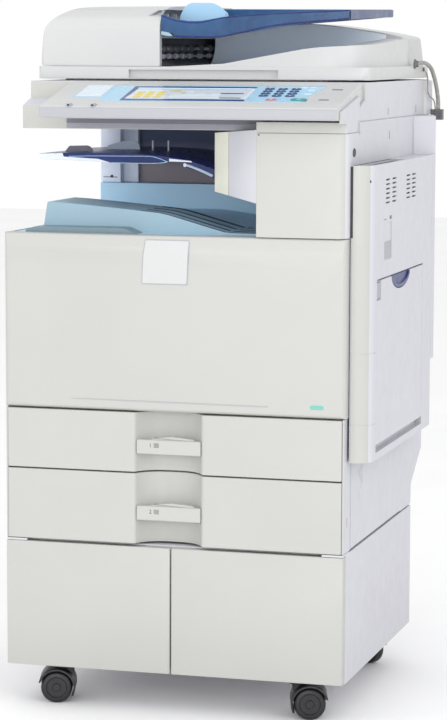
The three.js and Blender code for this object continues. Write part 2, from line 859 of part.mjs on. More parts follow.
// The feeder's signal cable and earth wire, from its right end down to a plug on the scanner's side.
function addFeederCable() {
  const tube = (points, radius, sides, steps) => {
    const curve = new THREE.CatmullRomCurve3(points.map((p) => new THREE.Vector3(...p)));
    const ring = new THREE.Shape(new THREE.EllipseCurve(0, 0, radius, radius).getPoints(sides).slice(1));
    return new THREE.ExtrudeGeometry(ring, { steps, extrudePath: curve, bevelEnabled: false });
  };
  const cable = tube(
    [
      [WIDTH + 4.2, 487, 1019],
      [556, 508, 1020.5],
      [559.3, 531, 1020],
      [562, 554, 1015],
      [564.5, 568, 1006],
      [566.5, 581, 991],
      [568, 593, 972],
      [568.5, 600, 955],
      [568.5, 602, 939],
    ],
    3.6,
    10,
    26,
  );
  const wire = tube(
    [
      [WIDTH + 1.6, 560, 1009],
      [557.5, 558, 1000],
      [560, 552, 985],
      [560, 552, 973],
      [561, 567, 963],
      [562.5, 588, 958],
      [563.5, 597, 950],
      [563.5, 602, 939],
    ],
    1.3,
    8,
    36,
  );
  const plug = box(557, 577, 595, 608, 923, 941);
  addPiece("adf_cable", CABLE_GREY, join(cable, wire, plug));
}

addCasters();
addCabinet();
addFeedUnit();
addEngineFrame();
addProcessUnits();
addFrontCover();
addBodyCovers();
addRightDoor();
addLowerDoor();
addOutputTray();
addOneBinTray();
addBaySides();
addScanner();
addControlPanel();
addFeeder();
addDocumentTray();
addFeederCable();

// The origin is the middle of the bounding box, on the floor.
machine.updateMatrixWorld(true);
const bounds = new THREE.Box3().setFromObject(machine);
const middle = bounds.getCenter(new THREE.Vector3());
machine.position.set(-middle.x, -middle.y, -bounds.min.z);

export default machine;
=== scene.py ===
"""A floor-standing colour photocopier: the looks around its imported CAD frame.

Blender works in metres, in the row frame. Shapes here are drawn in the machine's own
millimetres, x from the body's left side, y from its front and z from the floor, and
Box("node") gives a CAD node's box in them, so every place comes from the frame.
"""
import json
import math

import bmesh
import bpy
from mathutils import Matrix, Vector

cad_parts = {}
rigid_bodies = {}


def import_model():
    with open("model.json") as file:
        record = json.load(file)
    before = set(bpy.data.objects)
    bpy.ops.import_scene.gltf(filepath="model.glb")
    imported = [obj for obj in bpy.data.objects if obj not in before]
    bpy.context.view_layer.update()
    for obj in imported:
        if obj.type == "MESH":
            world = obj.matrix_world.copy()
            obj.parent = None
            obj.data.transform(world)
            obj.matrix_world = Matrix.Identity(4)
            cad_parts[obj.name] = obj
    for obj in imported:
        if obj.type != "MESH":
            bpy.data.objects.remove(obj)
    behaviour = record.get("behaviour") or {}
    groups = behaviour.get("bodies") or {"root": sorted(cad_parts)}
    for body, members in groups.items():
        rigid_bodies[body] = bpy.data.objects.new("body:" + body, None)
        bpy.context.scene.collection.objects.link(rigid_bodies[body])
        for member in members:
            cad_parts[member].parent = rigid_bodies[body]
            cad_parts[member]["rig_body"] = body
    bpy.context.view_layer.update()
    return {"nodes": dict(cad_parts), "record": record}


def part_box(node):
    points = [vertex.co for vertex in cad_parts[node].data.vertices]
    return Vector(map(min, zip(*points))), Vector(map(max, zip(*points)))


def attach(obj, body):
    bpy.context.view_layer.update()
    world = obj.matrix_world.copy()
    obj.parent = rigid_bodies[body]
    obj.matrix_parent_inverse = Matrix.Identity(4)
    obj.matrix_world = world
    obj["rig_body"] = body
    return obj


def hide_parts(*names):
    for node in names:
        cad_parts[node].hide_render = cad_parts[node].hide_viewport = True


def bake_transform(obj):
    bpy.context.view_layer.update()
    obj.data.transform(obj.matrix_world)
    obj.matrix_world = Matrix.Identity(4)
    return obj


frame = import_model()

MM = 0.001
SCENE = bpy.context.scene
JOINTS = {joint["name"]: joint for joint in frame["record"]["behaviour"]["joints"]}
CORNER = Vector((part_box("cabinet_shell")[0].x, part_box("front_cover")[0].y, 0))


class Box:
    """A CAD node's box at rest, in the machine's millimetres."""

    def __init__(self, node):
        low, high = ((corner - CORNER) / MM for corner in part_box(node))
        self.x0, self.y0, self.z0 = low
        self.x1, self.y1, self.z1 = high


def new_object(name, data):
    obj = bpy.data.objects.new(name, data)
    SCENE.collection.objects.link(obj)
    return obj


# ------------------------------------------------------------------ camera
# A long lens well in front of the machine, to its right and a little above the panel.
CAMERA = {"place": (1.1925, -4.2117, 1.0476), "azimuth": 16.0, "pitch": 6.71, "roll": 0.17}
LENS_MM = 133.39
SENSOR_MM = 36


def make_camera():
    data = bpy.data.cameras.new("camera")
    data.lens = LENS_MM
    data.sensor_width = SENSOR_MM
    data.clip_end = 50
    camera = new_object("camera", data)
    turn = Matrix.Rotation(math.radians(CAMERA["azimuth"]), 4, "Z")
    tilt = Matrix.Rotation(math.radians(90 - CAMERA["pitch"]), 4, "X")
    roll = Matrix.Rotation(math.radians(CAMERA["roll"]), 4, "Z")
    camera.matrix_world = Matrix.Translation(CAMERA["place"]) @ turn @ tilt @ roll
    SCENE.camera = camera


# ------------------------------------------------------------------ shapes
# A shape is (points, faces): closed bodies, with the points in millimetres.
PLACE = {
    "x": lambda u, v, a: (a, u, v),
    "y": lambda u, v, a: (u, a, v),
    "z": lambda u, v, a: (u, v, a),
}
ARC_TURN = 9  # degrees of an arc that one flat takes
FLAT = math.radians(0.5)  # faces that meet at less than this are one flat
LOOK_FORWARD = -0.6  # a normal's y below this faces the front


def rounded(corners, turn=ARC_TURN):
    """A closed outline through (u, v, reach) corners: an arc starts at reach from its corner."""
    points = []
    for i, (u, v, *more) in enumerate(corners):
        here, reach = Vector((u, v)), more[0] if more else 0
        back = (Vector(corners[i - 1][:2]) - here).normalized()
        onward = (Vector(corners[(i + 1) % len(corners)][:2]) - here).normalized()
        inside = back.angle(onward)
        sweep = math.pi - inside
        if not reach or sweep < 0.02:
            points.append(here)
            continue
        radius = reach * math.tan(inside / 2)
        centre = here + (back + onward).normalized() * radius / math.sin(inside / 2)
        first, last = here + back * reach - centre, here + onward * reach - centre
        steps = max(2, round(math.degrees(sweep) / turn))
        for k in range(steps + 1):
            part = k / steps * sweep
            points.append(
                centre + (first * math.sin(sweep - part) + last * math.sin(part)) / math.sin(sweep)
            )
    return points


def prism(axis, corners, a0, a1, turn=ARC_TURN):
    """An outline swept along an axis: x takes (y, z) corners, y takes (x, z), and z takes (x, y)."""
    ring = rounded(corners, turn)
    n = len(ring)
    points = [PLACE[axis](u, v, a) for a in (a0, a1) for u, v in ring]
    sides = [(i, (i + 1) % n, n + (i + 1) % n, n + i) for i in range(n)]
    return points, [tuple(range(n)), tuple(range(n, 2 * n)), *sides]


def rect(u0, u1, v0, v1, reach=0):
    return [(u0, v0, reach), (u1, v0, reach), (u1, v1, reach), (u0, v1, reach)]


def block(x0, x1, y0, y1, z0, z1):
    return prism("z", rect(x0, x1, y0, y1), z0, z1)


def pill(axis, u, v, half_u, half_v, a0, a1):
    """A stadium or a rounded bar round (u, v), swept along an axis."""
    reach = min(half_u, half_v) * 0.98
    return prism(axis, rect(u - half_u, u + half_u, v - half_v, v + half_v, reach), a0, a1)


def stitched(points, steps):
    """A closed body through rings of points, each of so many steps, with flat ends."""
    last = len(points) - steps
    sides = [
        (a + k, a + (k + 1) % steps, a + steps + (k + 1) % steps, a + steps + k)
        for a in range(0, last, steps)
        for k in range(steps)
    ]
    return points, [*sides, tuple(range(steps)), tuple(range(last, len(points)))]


def lathe(axis, u, v, profile, steps=40):
    """A turned body about the axis through (u, v): profile holds (along, radius) from end to end."""
    points = []
    for along, radius in profile:
        for k in range(steps):
            angle = math.tau * k / steps
            points.append(PLACE[axis](u + radius * math.cos(angle), v + radius * math.sin(angle), along))
    return stitched(points, steps)


def curve_through(places, per_span=6):
    """Points of a Catmull-Rom curve through the places."""
    p = [Vector(q) for q in places]
    p = [2 * p[0] - p[1], *p, 2 * p[-1] - p[-2]]
    made = []
    for i in range(1, len(p) - 2):
        for k in range(per_span):
            t = k / per_span
            a, b, c, d = p[i - 1 : i + 3]
            square, cube = 2 * a - 5 * b + 4 * c - d, 3 * b - a - 3 * c + d
            made.append(0.5 * (2 * b + (c - a) * t + square * t**2 + cube * t**3))
    return [*made, p[-2]]


def tube(places, radius, sides=14, per_span=6):
    path = curve_through(places, per_span)
    points = []
    side = Vector((1, 0.2, 0.1))
    for i, here in enumerate(path):
        along = (path[min(i + 1, len(path) - 1)] - path[max(i - 1, 0)]).normalized()
        side = (side - along * side.dot(along)).normalized()
        other = along.cross(side)
        for k in range(sides):
            angle = math.tau * k / sides
            points.append(here + (side * math.cos(angle) + other * math.sin(angle)) * radius)
    return stitched(points, sides)


def front_rod(y, places, radius, sides, per_span=6):
    """A rod through (x, z) places at the depth y."""
    return tube([(x, y, z) for x, z in places], radius, sides, per_span)


def grid_solid(rows, lift):
    """A closed sheet: rows of points on one side, and the same points moved by lift on the other."""
    n, m = len(rows), len(rows[0])
    top = [Vector(p) for row in rows for p in row]
    points = top + [p + Vector(lift) for p in top]
    faces = []
    for i in range(n - 1):
        for j in range(m - 1):
            a = i * m + j
            faces.append((a, a + 1, a + m + 1, a + m))
            faces.append(tuple(n * m + k for k in (a, a + m, a + m + 1, a + 1)))
    rim = [
        *range(m), *(i * m + m - 1 for i in range(1, n)), *((n - 1) * m + j for j in range(m - 2, -1, -1))
    ]
    rim += [i * m for i in range(n - 2, 0, -1)]
    for a, b in zip(rim, rim[1:] + rim[:1]):
        faces.append((a, b, b + n * m, a + n * m))
    return points, faces


def together(*shapes):
    """Separate bodies in one shape."""
    points, faces = [], []
    for more_points, more_faces in shapes:
        start = len(points)
        points += list(more_points)
        faces += [tuple(start + k for k in face) for face in more_faces]
    return points, faces


def turned(shape, matrix):
    return [matrix @ Vector(p) for p in shape[0]], shape[1]


def to_bmesh(shape):
    points, faces = shape
    bm = bmesh.new()
    made = [bm.verts.new(p) for p in points]
    for face in faces:
        bm.faces.new([made[k] for k in face])
    bmesh.ops.remove_doubles(bm, verts=bm.verts, dist=1e-4)
    bmesh.ops.recalc_face_normals(bm, faces=bm.faces)
    return bm


def from_bmesh(bm):
    bm.verts.index_update()
    shape = [v.co.copy() for v in bm.verts], [tuple(v.index for v in f.verts) for f in bm.faces]
    bm.free()
    return shape


def cad_shape(node):
    """A CAD node's solid as a shape, with its flat faces cleared of triangle edges."""
    bm = bmesh.new()
    bm.from_mesh(frame["nodes"][node].data)
    for v in bm.verts:
        v.co = (v.co - CORNER) / MM
    bmesh.ops.remove_doubles(bm, verts=bm.verts, dist=0.01)
    bmesh.ops.dissolve_limit(bm, angle_limit=FLAT, verts=bm.verts, edges=bm.edges)
    return from_bmesh(bm)


def scratch(shape):
    mesh = bpy.data.meshes.new("scratch")
    bm = to_bmesh(shape)
    bm.to_mesh(mesh)
    bm.free()
    return new_object("scratch", mesh)


def evaluated(obj):
    """The object's mesh with its modifiers applied."""
    bpy.context.view_layer.update()
    return bpy.data.meshes.new_from_object(obj.evaluated_get(bpy.context.evaluated_depsgraph_get()))


def combined(operation, shape, tools):
    body, others = scratch(shape), [scratch(tool) for tool in tools]
    for other in others:
        step = body.modifiers.new("step", "BOOLEAN")
        step.operation, step.object, step.solver = operation, other, "EXACT"
    mesh = evaluated(body)
    bm = bmesh.new()
    bm.from_mesh(mesh)
    bmesh.ops.remove_doubles(bm, verts=bm.verts, dist=1e-3)
    bmesh.ops.dissolve_limit(bm, angle_limit=FLAT, verts=bm.verts, edges=bm.edges)
    for obj in (body, *others):
        old = obj.data
        bpy.data.objects.remove(obj)
        bpy.data.meshes.remove(old)
    bpy.data.meshes.remove(mesh)
    return from_bmesh(bm)


def carve(shape, *tools):
    return combined("DIFFERENCE", shape, tools)


def fuse(shape, *others):
    return combined("UNION", shape, others)


def shared(shape, other):
    return combined("INTERSECT", shape, [other])


def bevel(obj, width, segments=2, angle=30):
    step = obj.modifiers.new("edges", "BEVEL")
    step.width = width * MM
    step.segments = segments
    step.limit_method = "ANGLE"
    step.angle_limit = math.radians(angle)
    step.harden_normals = True


def piece(name, shape, look, body="chassis", hides=(), edge=0.5, angle=30, paint=(), slot=None):
    """One visible piece, its edges rounded by edge mm: paint gives (look, test) for some faces.

    A list of shapes is one piece too. The slot argument is not used.
    """
    slot = slot or SLOTS.get(look, look)
    mesh = bpy.data.meshes.new(name)
    bm = to_bmesh(together(*shape) if isinstance(shape, list) else shape)
    for v in bm.verts:
        v.co = CORNER + v.co * MM
    bm.normal_update()
    mesh.materials.append(LOOKS[look])
    for k, (other, test) in enumerate(paint, 1):
        mesh.materials.append(LOOKS[other])
        for face in bm.faces:
            if test((face.calc_center_median() - CORNER) / MM, face.normal):
                face.material_index = k
    bm.to_mesh(mesh)
    bm.free()
    mesh.shade_smooth()
    obj = new_object(name, mesh)
    if edge:
        bevel(obj, edge, angle=angle)
    else:
        mesh.set_sharp_from_angle(angle=math.radians(angle))
    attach(obj, body)
    if hides:
        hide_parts(*hides)
    return obj


def faces_front(_centre, normal):
    return normal.y < LOOK_FORWARD


def lettering(name, text, size, place, tilt, look, body):
    """A digit or sign as a thin raised mesh, standing on place and leaning back by tilt from flat."""
    curve = bpy.data.curves.new("text", "FONT")
    curve.body, curve.size, curve.extrude = text, size, 0.12
    curve.align_x = curve.align_y = "CENTER"
    curve.resolution_u = 3
    source = new_object("text", curve)
    mesh = evaluated(source)
    bpy.data.objects.remove(source)
    bm = bmesh.new()
    bm.from_mesh(mesh)
    turn = Matrix.Translation(place) @ Matrix.Rotation(tilt, 4, "X")
    bmesh.ops.transform(bm, matrix=turn, verts=bm.verts)
    return piece(name, from_bmesh(bm), look, body, edge=0)


# ------------------------------------------------------------------ materials
class Nodes:
    """Adds shader nodes to a new material and links them."""

    def __init__(self, name):
        self.material = bpy.data.materials.new(name)
        self.material.use_nodes = True
        self.tree = self.material.node_tree
        self.bsdf = self.tree.nodes["Principled BSDF"]
        self.coords = self.add("ShaderNodeTexCoord").outputs["Object"]

    def add(self, kind, **values):
        node = self.tree.nodes.new(kind)
        for key, value in values.items():
            setattr(node, key, value)
        return node

    def link(self, source, target):
        self.tree.links.new(source, target)

    def set(self, **values):
        for key, value in values.items():
            self.bsdf.inputs[key.replace("_", " ")].default_value = value

    def feed(self, **sources):
        for key, source in sources.items():
            self.link(source, self.bsdf.inputs[key.replace("_", " ")])

    def noise(self, scale, detail=3.0, roughness=0.5):
        node = self.add("ShaderNodeTexNoise")
        node.inputs["Scale"].default_value = scale
        node.inputs["Detail"].default_value = detail
        node.inputs["Roughness"].default_value = roughness
        self.link(self.coords, node.inputs["Vector"])
        return node.outputs["Fac"]

    def height(self, low, high):
        """0 to 1 as a point goes from z = low to z = high, in metres."""
        split = self.add("ShaderNodeSeparateXYZ")
        self.link(self.coords, split.inputs[0])
        span = self.add("ShaderNodeMapRange")
        span.inputs["From Min"].default_value = low
        span.inputs["From Max"].default_value = high
        self.link(split.outputs["Z"], span.inputs["Value"])
        return span.outputs["Result"]

    def ramp(self, fac, low, high, start=0.35, end=0.65):
        """Colours or greys from low to high as fac goes from start to end."""
        node = self.add("ShaderNodeValToRGB")
        first, last = node.color_ramp.elements
        first.position, last.position = start, end
        first.color, last.color = as_rgba(low), as_rgba(high)
        self.link(fac, node.inputs["Fac"])
        return node.outputs["Color"]

    def mix(self, fac, a, b):
        node = self.add("ShaderNodeMix", data_type="RGBA")
        for socket, value in ((node.inputs[0], fac), (node.inputs[6], a), (node.inputs[7], b)):
            if isinstance(value, bpy.types.NodeSocket):
                self.link(value, socket)
            else:
                socket.default_value = value if socket is node.inputs[0] else as_rgba(value)
        return node.outputs[2]

    def bump(self, height, strength, distance, under=None):
        node = self.add("ShaderNodeBump")
        node.inputs["Strength"].default_value = strength
        node.inputs["Distance"].default_value = distance
        self.link(height, node.inputs["Height"])
        if under is not None:
            self.link(under, node.inputs["Normal"])
        self.link(node.outputs["Normal"], self.bsdf.inputs["Normal"])
        return node.outputs["Normal"]


def as_rgba(value):
    if isinstance(value, (int, float)):
        return (value, value, value, 1.0)
    return (*value, 1.0) if len(value) == 3 else tuple(value)


def shade(colour, factor):
    return tuple(c * factor for c in colour)


def moulded(name, colour, rough=0.42, grain=1.0, fade=None):
    """Moulded plastic: spark-eroded grain, slow unevenness in colour and gloss, faint dust.

    fade is (another colour, low, high): the colour turns into it from one height to the other, which paints
    light and shade that change with height.
    """
    n = Nodes(name)
    base = n.ramp(n.noise(5.5, 2), shade(colour, 0.98), shade(colour, 1.01))
    if fade:
        other, low, high = fade
        base = n.mix(n.height(low, high), base, other)
    else:
        dusty = tuple(c * f for c, f in zip(colour, (0.95, 0.945, 0.93)))
        dust = n.ramp(n.noise(190, 5, 0.7), 0.0, 0.35, 0.52, 0.78)
        base = n.mix(dust, base, dusty)
    gloss = n.ramp(n.noise(38, 4, 0.6), max(rough - 0.05, 0.02), rough + 0.06)
    n.feed(Base_Color=base, Roughness=gloss)
    n.bump(n.noise(2300, 2, 0.6), 0.16 * grain, 0.00012)
    return n.material


def painted_steel(name, colour):
    """Powder-coated sheet: a soft orange peel under fine grain."""
    n = Nodes(name)
    slow = n.ramp(n.noise(4, 2), shade(colour, 0.965), shade(colour, 1.02))
    n.feed(Base_Color=slow, Roughness=n.ramp(n.noise(60, 4, 0.6), 0.33, 0.45))
    peel = n.bump(n.noise(420, 2), 0.09, 0.0003)
    n.bump(n.noise(2600, 2), 0.08, 0.00008, under=peel)
    return n.material


def clear_plastic(name, colour, deep, see_through):
    """Tinted translucent plastic: deeper in slow random patches, with faint flow marks."""
    n = Nodes(name)
    flow = n.ramp(n.noise(16, 3, 0.55), deep, colour, 0.3, 0.7)
    n.feed(Base_Color=flow, Roughness=n.ramp(n.noise(90, 3), 0.16, 0.24))
    n.bump(n.noise(45, 2), 0.05, 0.0006)
    n.set(Transmission_Weight=see_through, IOR=1.45, Coat_Weight=0.12, Coat_Roughness=0.12)
    return n.material


def rubber(name, colour, rough=0.62):
    n = Nodes(name)
    worn = n.ramp(n.noise(120, 4, 0.65), colour, shade(colour, 1.9), 0.5, 0.8)
    n.feed(Base_Color=worn, Roughness=n.ramp(n.noise(70, 3), rough - 0.08, rough + 0.1))
    n.bump(n.noise(1500, 3), 0.2, 0.0002)
    return n.material


def metal(name, colour):
    n = Nodes(name)
    shine = n.ramp(n.noise(30, 4), shade(colour, 0.85), colour)
    n.feed(Base_Color=shine, Roughness=n.ramp(n.noise(260, 4, 0.7), 0.22, 0.4))
    n.bump(n.noise(1200, 2), 0.06, 0.0001)
    n.set(Metallic=1.0)
    return n.material


def glass(name):
    n = Nodes(name)
    tint = n.ramp(n.noise(20, 3), (0.80, 0.87, 0.86), (0.9, 0.94, 0.94))
    n.feed(Base_Color=tint, Roughness=n.ramp(n.noise(300, 4, 0.7), 0.02, 0.06))
    n.set(Transmission_Weight=0.85, IOR=1.52)
    return n.material


# One white plastic in two tones by the way its faces look: painted light, the fronts darker and warmer, the
# sides and back lighter and cooler.
FRONT_LIT_TONE = (0.455, 0.458, 0.435)
SIDE_LIT_TONE = (0.545, 0.545, 0.590)
# look: its maker, then what the maker takes after the name
LOOK_TABLE = {
    "warm_white": (moulded, FRONT_LIT_TONE),
    "cool_white": (moulded, SIDE_LIT_TONE),
    # A darker copy of the panel's white for its lip's front faces: painted shade.
    "lip_white": (moulded, (0.375, 0.38, 0.41)),
    "feeder_white": (moulded, (0.52, 0.525, 0.525), 0.36),
    # Two copies of one pale plastic for the exit cover: bright cream where it faces the light, lavender
    # where it lies in shade; painted light and shade.
    "exit_cream": (moulded, (0.96, 0.94, 0.80)),
    "exit_pale": (moulded, (0.72, 0.715, 0.76)),
    # Mid grey for the vent backing, and for the lower band of painted shade under the panel's lip.
    "trim_grey": (moulded, (0.30, 0.30, 0.35), 0.5),
    # Pale blue strips for the clear tray's lit edges: a painted highlight.
    "pale_edge": (moulded, (0.75, 0.80, 0.86), 0.25, 0.4),
    "soft_grey": (moulded, (0.36, 0.37, 0.41), 0.45),
    # Dark grey for inner parts, and for the painted shade just under the panel's lip and under the panel.
    "inner_grey": (moulded, (0.17, 0.175, 0.21), 0.5),
    "seam_grey": (moulded, (0.09, 0.09, 0.10), 0.5),
    # A dark grey turning navy towards the top: painted shade on the bay's back wall.
    "bay_back": (moulded, (0.26, 0.23, 0.26), 0.5, 1.0, ((0.05, 0.07, 0.15), 0.84, 0.885)),
    # The bay blue, lifted to stand in for light the shaded bay lacks, and a darker copy that paints shade
    # on the paper rest's front faces and a highlight on the document tray's left corner.
    "bay_blue": (moulded, (0.44, 0.68, 0.86), 0.38),
    "bay_pale": (moulded, (0.28, 0.41, 0.49), 0.38),
    # The feeder bed's grey-blue lifted near white, a touch lighter up its curve: painted light where the
    # document tray shades it.
    "bed_grey": (moulded, (0.84, 0.94, 1.0), 0.4, 1.0, ((0.86, 0.94, 1.0), 1.02, 1.075)),
    "panel_blue": (moulded, (0.36, 0.58, 0.74), 0.3, 0.5),
    "panel_pale": (moulded, (0.62, 0.72, 0.80), 0.3, 0.5),
    "guide_blue": (moulded, (0.36, 0.60, 0.80), 0.3, 0.5),
    "clear_blue": (clear_plastic, (0.045, 0.17, 0.40), (0.018, 0.075, 0.22), 0.5),
    "deep_blue": (clear_plastic, (0.018, 0.040, 0.25), (0.008, 0.020, 0.14), 0.35),
    "steel_paint": (painted_steel, (0.40, 0.41, 0.43)),
    "caster_black": (moulded, (0.010, 0.010, 0.012), 0.4),
    "dark": (moulded, (0.018, 0.018, 0.022), 0.5),
    "rubber": (rubber, (0.014, 0.014, 0.015)),
    "roller_grey": (rubber, (0.07, 0.07, 0.075)),
    "metal": (metal, (0.62, 0.62, 0.64)),
    "glass": (glass,),
    "foam_white": (rubber, (0.66, 0.66, 0.66), 0.8),
    "toner_black": (moulded, (0.025, 0.025, 0.027)),
    "toner_cyan": (moulded, (0.03, 0.33, 0.60)),
    "toner_magenta": (moulded, (0.55, 0.04, 0.25)),
    "toner_yellow": (moulded, (0.80, 0.62, 0.05)),
    "key_navy": (moulded, (0.018, 0.050, 0.17), 0.35, 0.5),
    "pull_navy": (moulded, (0.035, 0.045, 0.17), 0.35, 0.3),
    "sticker_teal": (moulded, (0.16, 0.44, 0.38), 0.35, 0.3),
    "key_green": (moulded, (0.03, 0.28, 0.27), 0.35, 0.5),
    "key_red": (moulded, (0.60, 0.13, 0.11), 0.35, 0.5),
    "cable_grey": (rubber, (0.26, 0.255, 0.235), 0.5),
    "plug_grey": (moulded, (0.13, 0.12, 0.13), 0.45),
    "hook_blue": (moulded, (0.46, 0.55, 0.68), 0.3, 0.5),
    # Darker copies of the bay blue for the paper rest's rail tops and low front wall: painted shade.
    "bay_deep": (moulded, (0.30, 0.46, 0.56), 0.45),
    "rest_wall": (moulded, (0.17, 0.25, 0.30), 0.38),
    "end_blue": (moulded, (0.022, 0.055, 0.16), 0.3, 0.4),
    # Near-black navy for the lines down the paper rest: painted shade in its rib grooves.
    "line_navy": (moulded, (0.012, 0.03, 0.06), 0.6),
    "tray_navy": (moulded, (0.025, 0.04, 0.20), 0.3, 0.4),
    "pillar_grey": (moulded, (0.80, 0.87, 1.0), 0.45),
    "screen_pale": (moulded, (0.50, 0.58, 0.74), 0.2, 0.3),
    "screen_white": (moulded, (0.62, 0.67, 0.72), 0.2, 0.3),
    "screen_yellow": (moulded, (0.62, 0.52, 0.10), 0.25, 0.3),
    "screen_navy": (moulded, (0.03, 0.06, 0.20), 0.2, 0.3),
}
LOOKS = {name: make(name, *values) for name, (make, *values) in LOOK_TABLE.items()}

# look: its slot, where that has another name
SLOTS = {
    "bed_grey": "bay_blue",
    "bay_back": "carriage_dark",
    "dark": "carriage_dark",
    "inner_grey": "carriage_dark",
    "line_navy": "carriage_dark",
    "plug_grey": "carriage_dark",
    "screen_navy": "carriage_dark",
    "seam_grey": "carriage_dark",
    "trim_grey": "carriage_dark",
    "deep_blue": "clear_blue",
    "end_blue": "clear_blue",
    "exit_pale": "cool_white",
    "soft_grey": "cool_white",
    "metal": "frame_steel",
    "bay_pale": "guide_blue",
    "hook_blue": "guide_blue",
    "pale_edge": "guide_blue",
    "panel_blue": "guide_blue",
    "panel_pale": "guide_blue",
    "sticker_teal": "key_green",
    "pull_navy": "key_navy",
    "roller_grey": "roller_dark",
    "screen_white": "screen",
    "screen_yellow": "screen",
    "feeder_white": "warm_white",
    "foam_white": "warm_white",
    "lip_white": "warm_white",
}

# ------------------------------------------------------------------ CAD nodes that stay
# node name or prefix: material, edge radius in mm
KEPT = {
    "cabinet_shell": ("cool_white", 1.2),
    "cabinet_door": ("warm_white", 1.2),
    "caster_swivel": ("caster_black", 0.8),
    "tray_1_box": ("cool_white", 0.6),
    "tray_2_box": ("cool_white", 0.6),
    "left_cover": ("cool_white", 0.6),
    "engine_frame": ("steel_paint", 0.5),
    "toner_bottle_black": ("toner_black", 1.0),
    "toner_bottle_cyan": ("toner_cyan", 1.0),
    "toner_bottle_magenta": ("toner_magenta", 1.0),
    "toner_bottle_yellow": ("toner_yellow", 1.0),
    "transfer_belt": ("rubber", 0.3),
    "fuser_": ("rubber", 0.5),
    "bay_pillar": ("pillar_grey", 1.0),
    "platen_glass": ("glass", 0.3),
    "scan_carriage": ("dark", 0.8),
    "touch_screen": ("screen_pale", 0.4),
    "adf_base": ("feeder_white", 2.0),
}


def soften(obj, radius):
    """Welds the faceted solid, clears its flat faces and rounds its edges."""
    weld = obj.modifiers.new("weld", "WELD")
    weld.merge_threshold = 1e-5
    flat = obj.modifiers.new("flat", "DECIMATE")
    flat.decimate_type = "DISSOLVE"
    flat.angle_limit = math.radians(1)
    bevel(obj, radius, angle=35)
    for polygon in obj.data.polygons:
        polygon.use_smooth = True


def finish_cad_nodes():
    for name, obj in frame["nodes"].items():
        fits = [k for k in KEPT if name.startswith(k)]
        if not fits:
            continue
        material, radius = KEPT[max(fits, key=len)]
        obj.data.materials.clear()
        obj.data.materials.append(LOOKS[material])
        soften(obj, radius)


# ------------------------------------------------------------------ drawers and cabinet
RECESS = {"left": 214, "right": 324, "depth": 32}  # finger recess in each drawer front


def make_drawer_front(number):
    """A front that dips into a round-backed recess, with a crowned pull bar across it."""
    node, body = f"tray_{number}_front", f"drawer_{number}"
    b = Box(node)
    left, right, depth = RECESS["left"], RECESS["right"], RECESS["depth"]
    plan = [
        (b.x0, 0, 2),
        (left, 0, 4),
        (left + 18, depth, 28),
        (right - 18, depth, 28),
        (right, 0, 4),
        (b.x1, 0, 2),
        (b.x1, 18),
        (right + 20, 18),
        (right + 12, b.y1),
        (left - 12, b.y1),
        (left - 20, 18),
        (b.x0, 18),
    ]
    piece(f"drawer_front_{number}", prism("z", plan, b.z0, b.z1, 6), "warm_white", body, [node], 1.2)

    top = (b.z0 + b.z1) / 2 + 9
    middle = (left + right) / 2
    bar = prism("y", rect(left + 3, right - 2.6, top - 27, top - 4), 0, 12)
    arch = [(right - 16, top - 2, 3), (middle + 4, top + 3.6, 30), (left + 28, top - 2, 3)]
    crown = prism("y", [(left + 24, top - 5), (right - 12, top - 5), *arch], 4, 11)
    arms = [block(x, x + 5, 8, depth - 4, top - 22, top - 10) for x in (left + 8, right - 13)]
    piece(f"drawer_pull_{number}", bar, "warm_white", body, edge=1.8)
    piece(f"drawer_pull_crown_{number}", crown, "warm_white", body, edge=1.0)
    piece(f"drawer_pull_arms_{number}", arms, "warm_white", body, edge=0.6)

    # A digit and a sign for a stack of sheets, as on a dial.
    z = top - 13
    spot = (left + 26, -0.05, z)
    lettering(f"drawer_digit_{number}", str(number), 9, spot, math.pi / 2, "seam_grey", body)
    sheets = [
        block(left + 31.5, left + 40, -0.12, 0.2, z - 3 + k * 1.5, z - 2.3 + k * 1.5)
        for k in range(5)
    ]
    piece(f"drawer_sign_{number}", sheets, "seam_grey", body, edge=0)


def make_cabinet_details():
    """The plates of the doors' concealed hinges, on the cabinet's inner sides."""
    b = Box("cabinet_shell")
    for side, x0, x1 in (("left", 12.2, 20), ("right", b.x1 - 20, b.x1 - 12.2)):
        plates = [block(x0, x1, 22, 46, z - 9, z + 9) for z in (b.z0 + 40, b.z1 - 44)]
        piece(f"cabinet_hinge_plates_{side}", plates, "metal", edge=0.6)


def make_casters():
    for place in ("front_left", "front_right", "rear_left", "rear_right"):
        node = f"caster_wheel_{place}"
        joint = JOINTS[f"{node}_spin"]
        centre = (Vector(joint["pos_m"]) - CORNER) / MM
        axle = Vector(joint["axis"])
        frame_of_wheel = Matrix((axle, Vector((-axle.y, axle.x, 0)), Vector((0, 0, 1)))).transposed()
        radius, inner, outer = centre.z, 9, 29
        half = [
            (inner, 8),
            (inner, radius - 5),
            (inner + 1.5, radius - 1.2),
            (inner + 3, radius),
            (inner + 8.6, radius),
            (inner + 9.2, radius - 0.9),
            (inner + 10.8, radius - 0.9),
            (inner + 11.4, radius),
            (outer - 3, radius),
            (outer - 1.2, radius - 1.3),
            (outer, radius - 4.5),
            (outer, radius - 8),
            (outer - 1.6, radius - 9.4),
            (outer - 1.6, 7),
            (outer - 0.3, 6),
            (outer - 0.3, 2),
        ]
        wheels = [lathe("x", 0, 0, [(side * along, r) for along, r in half], 56) for side in (-1, 1)]
        axle_pin = lathe("x", 0, 0, [(-inner - 1, 3.9), (inner + 1, 3.9)], 20)
        shape = turned(together(*wheels, axle_pin), Matrix.Translation(centre) @ frame_of_wheel.to_4x4())
        piece(f"wheels_{place}", shape, "caster_black", node, [node], 0, angle=40)


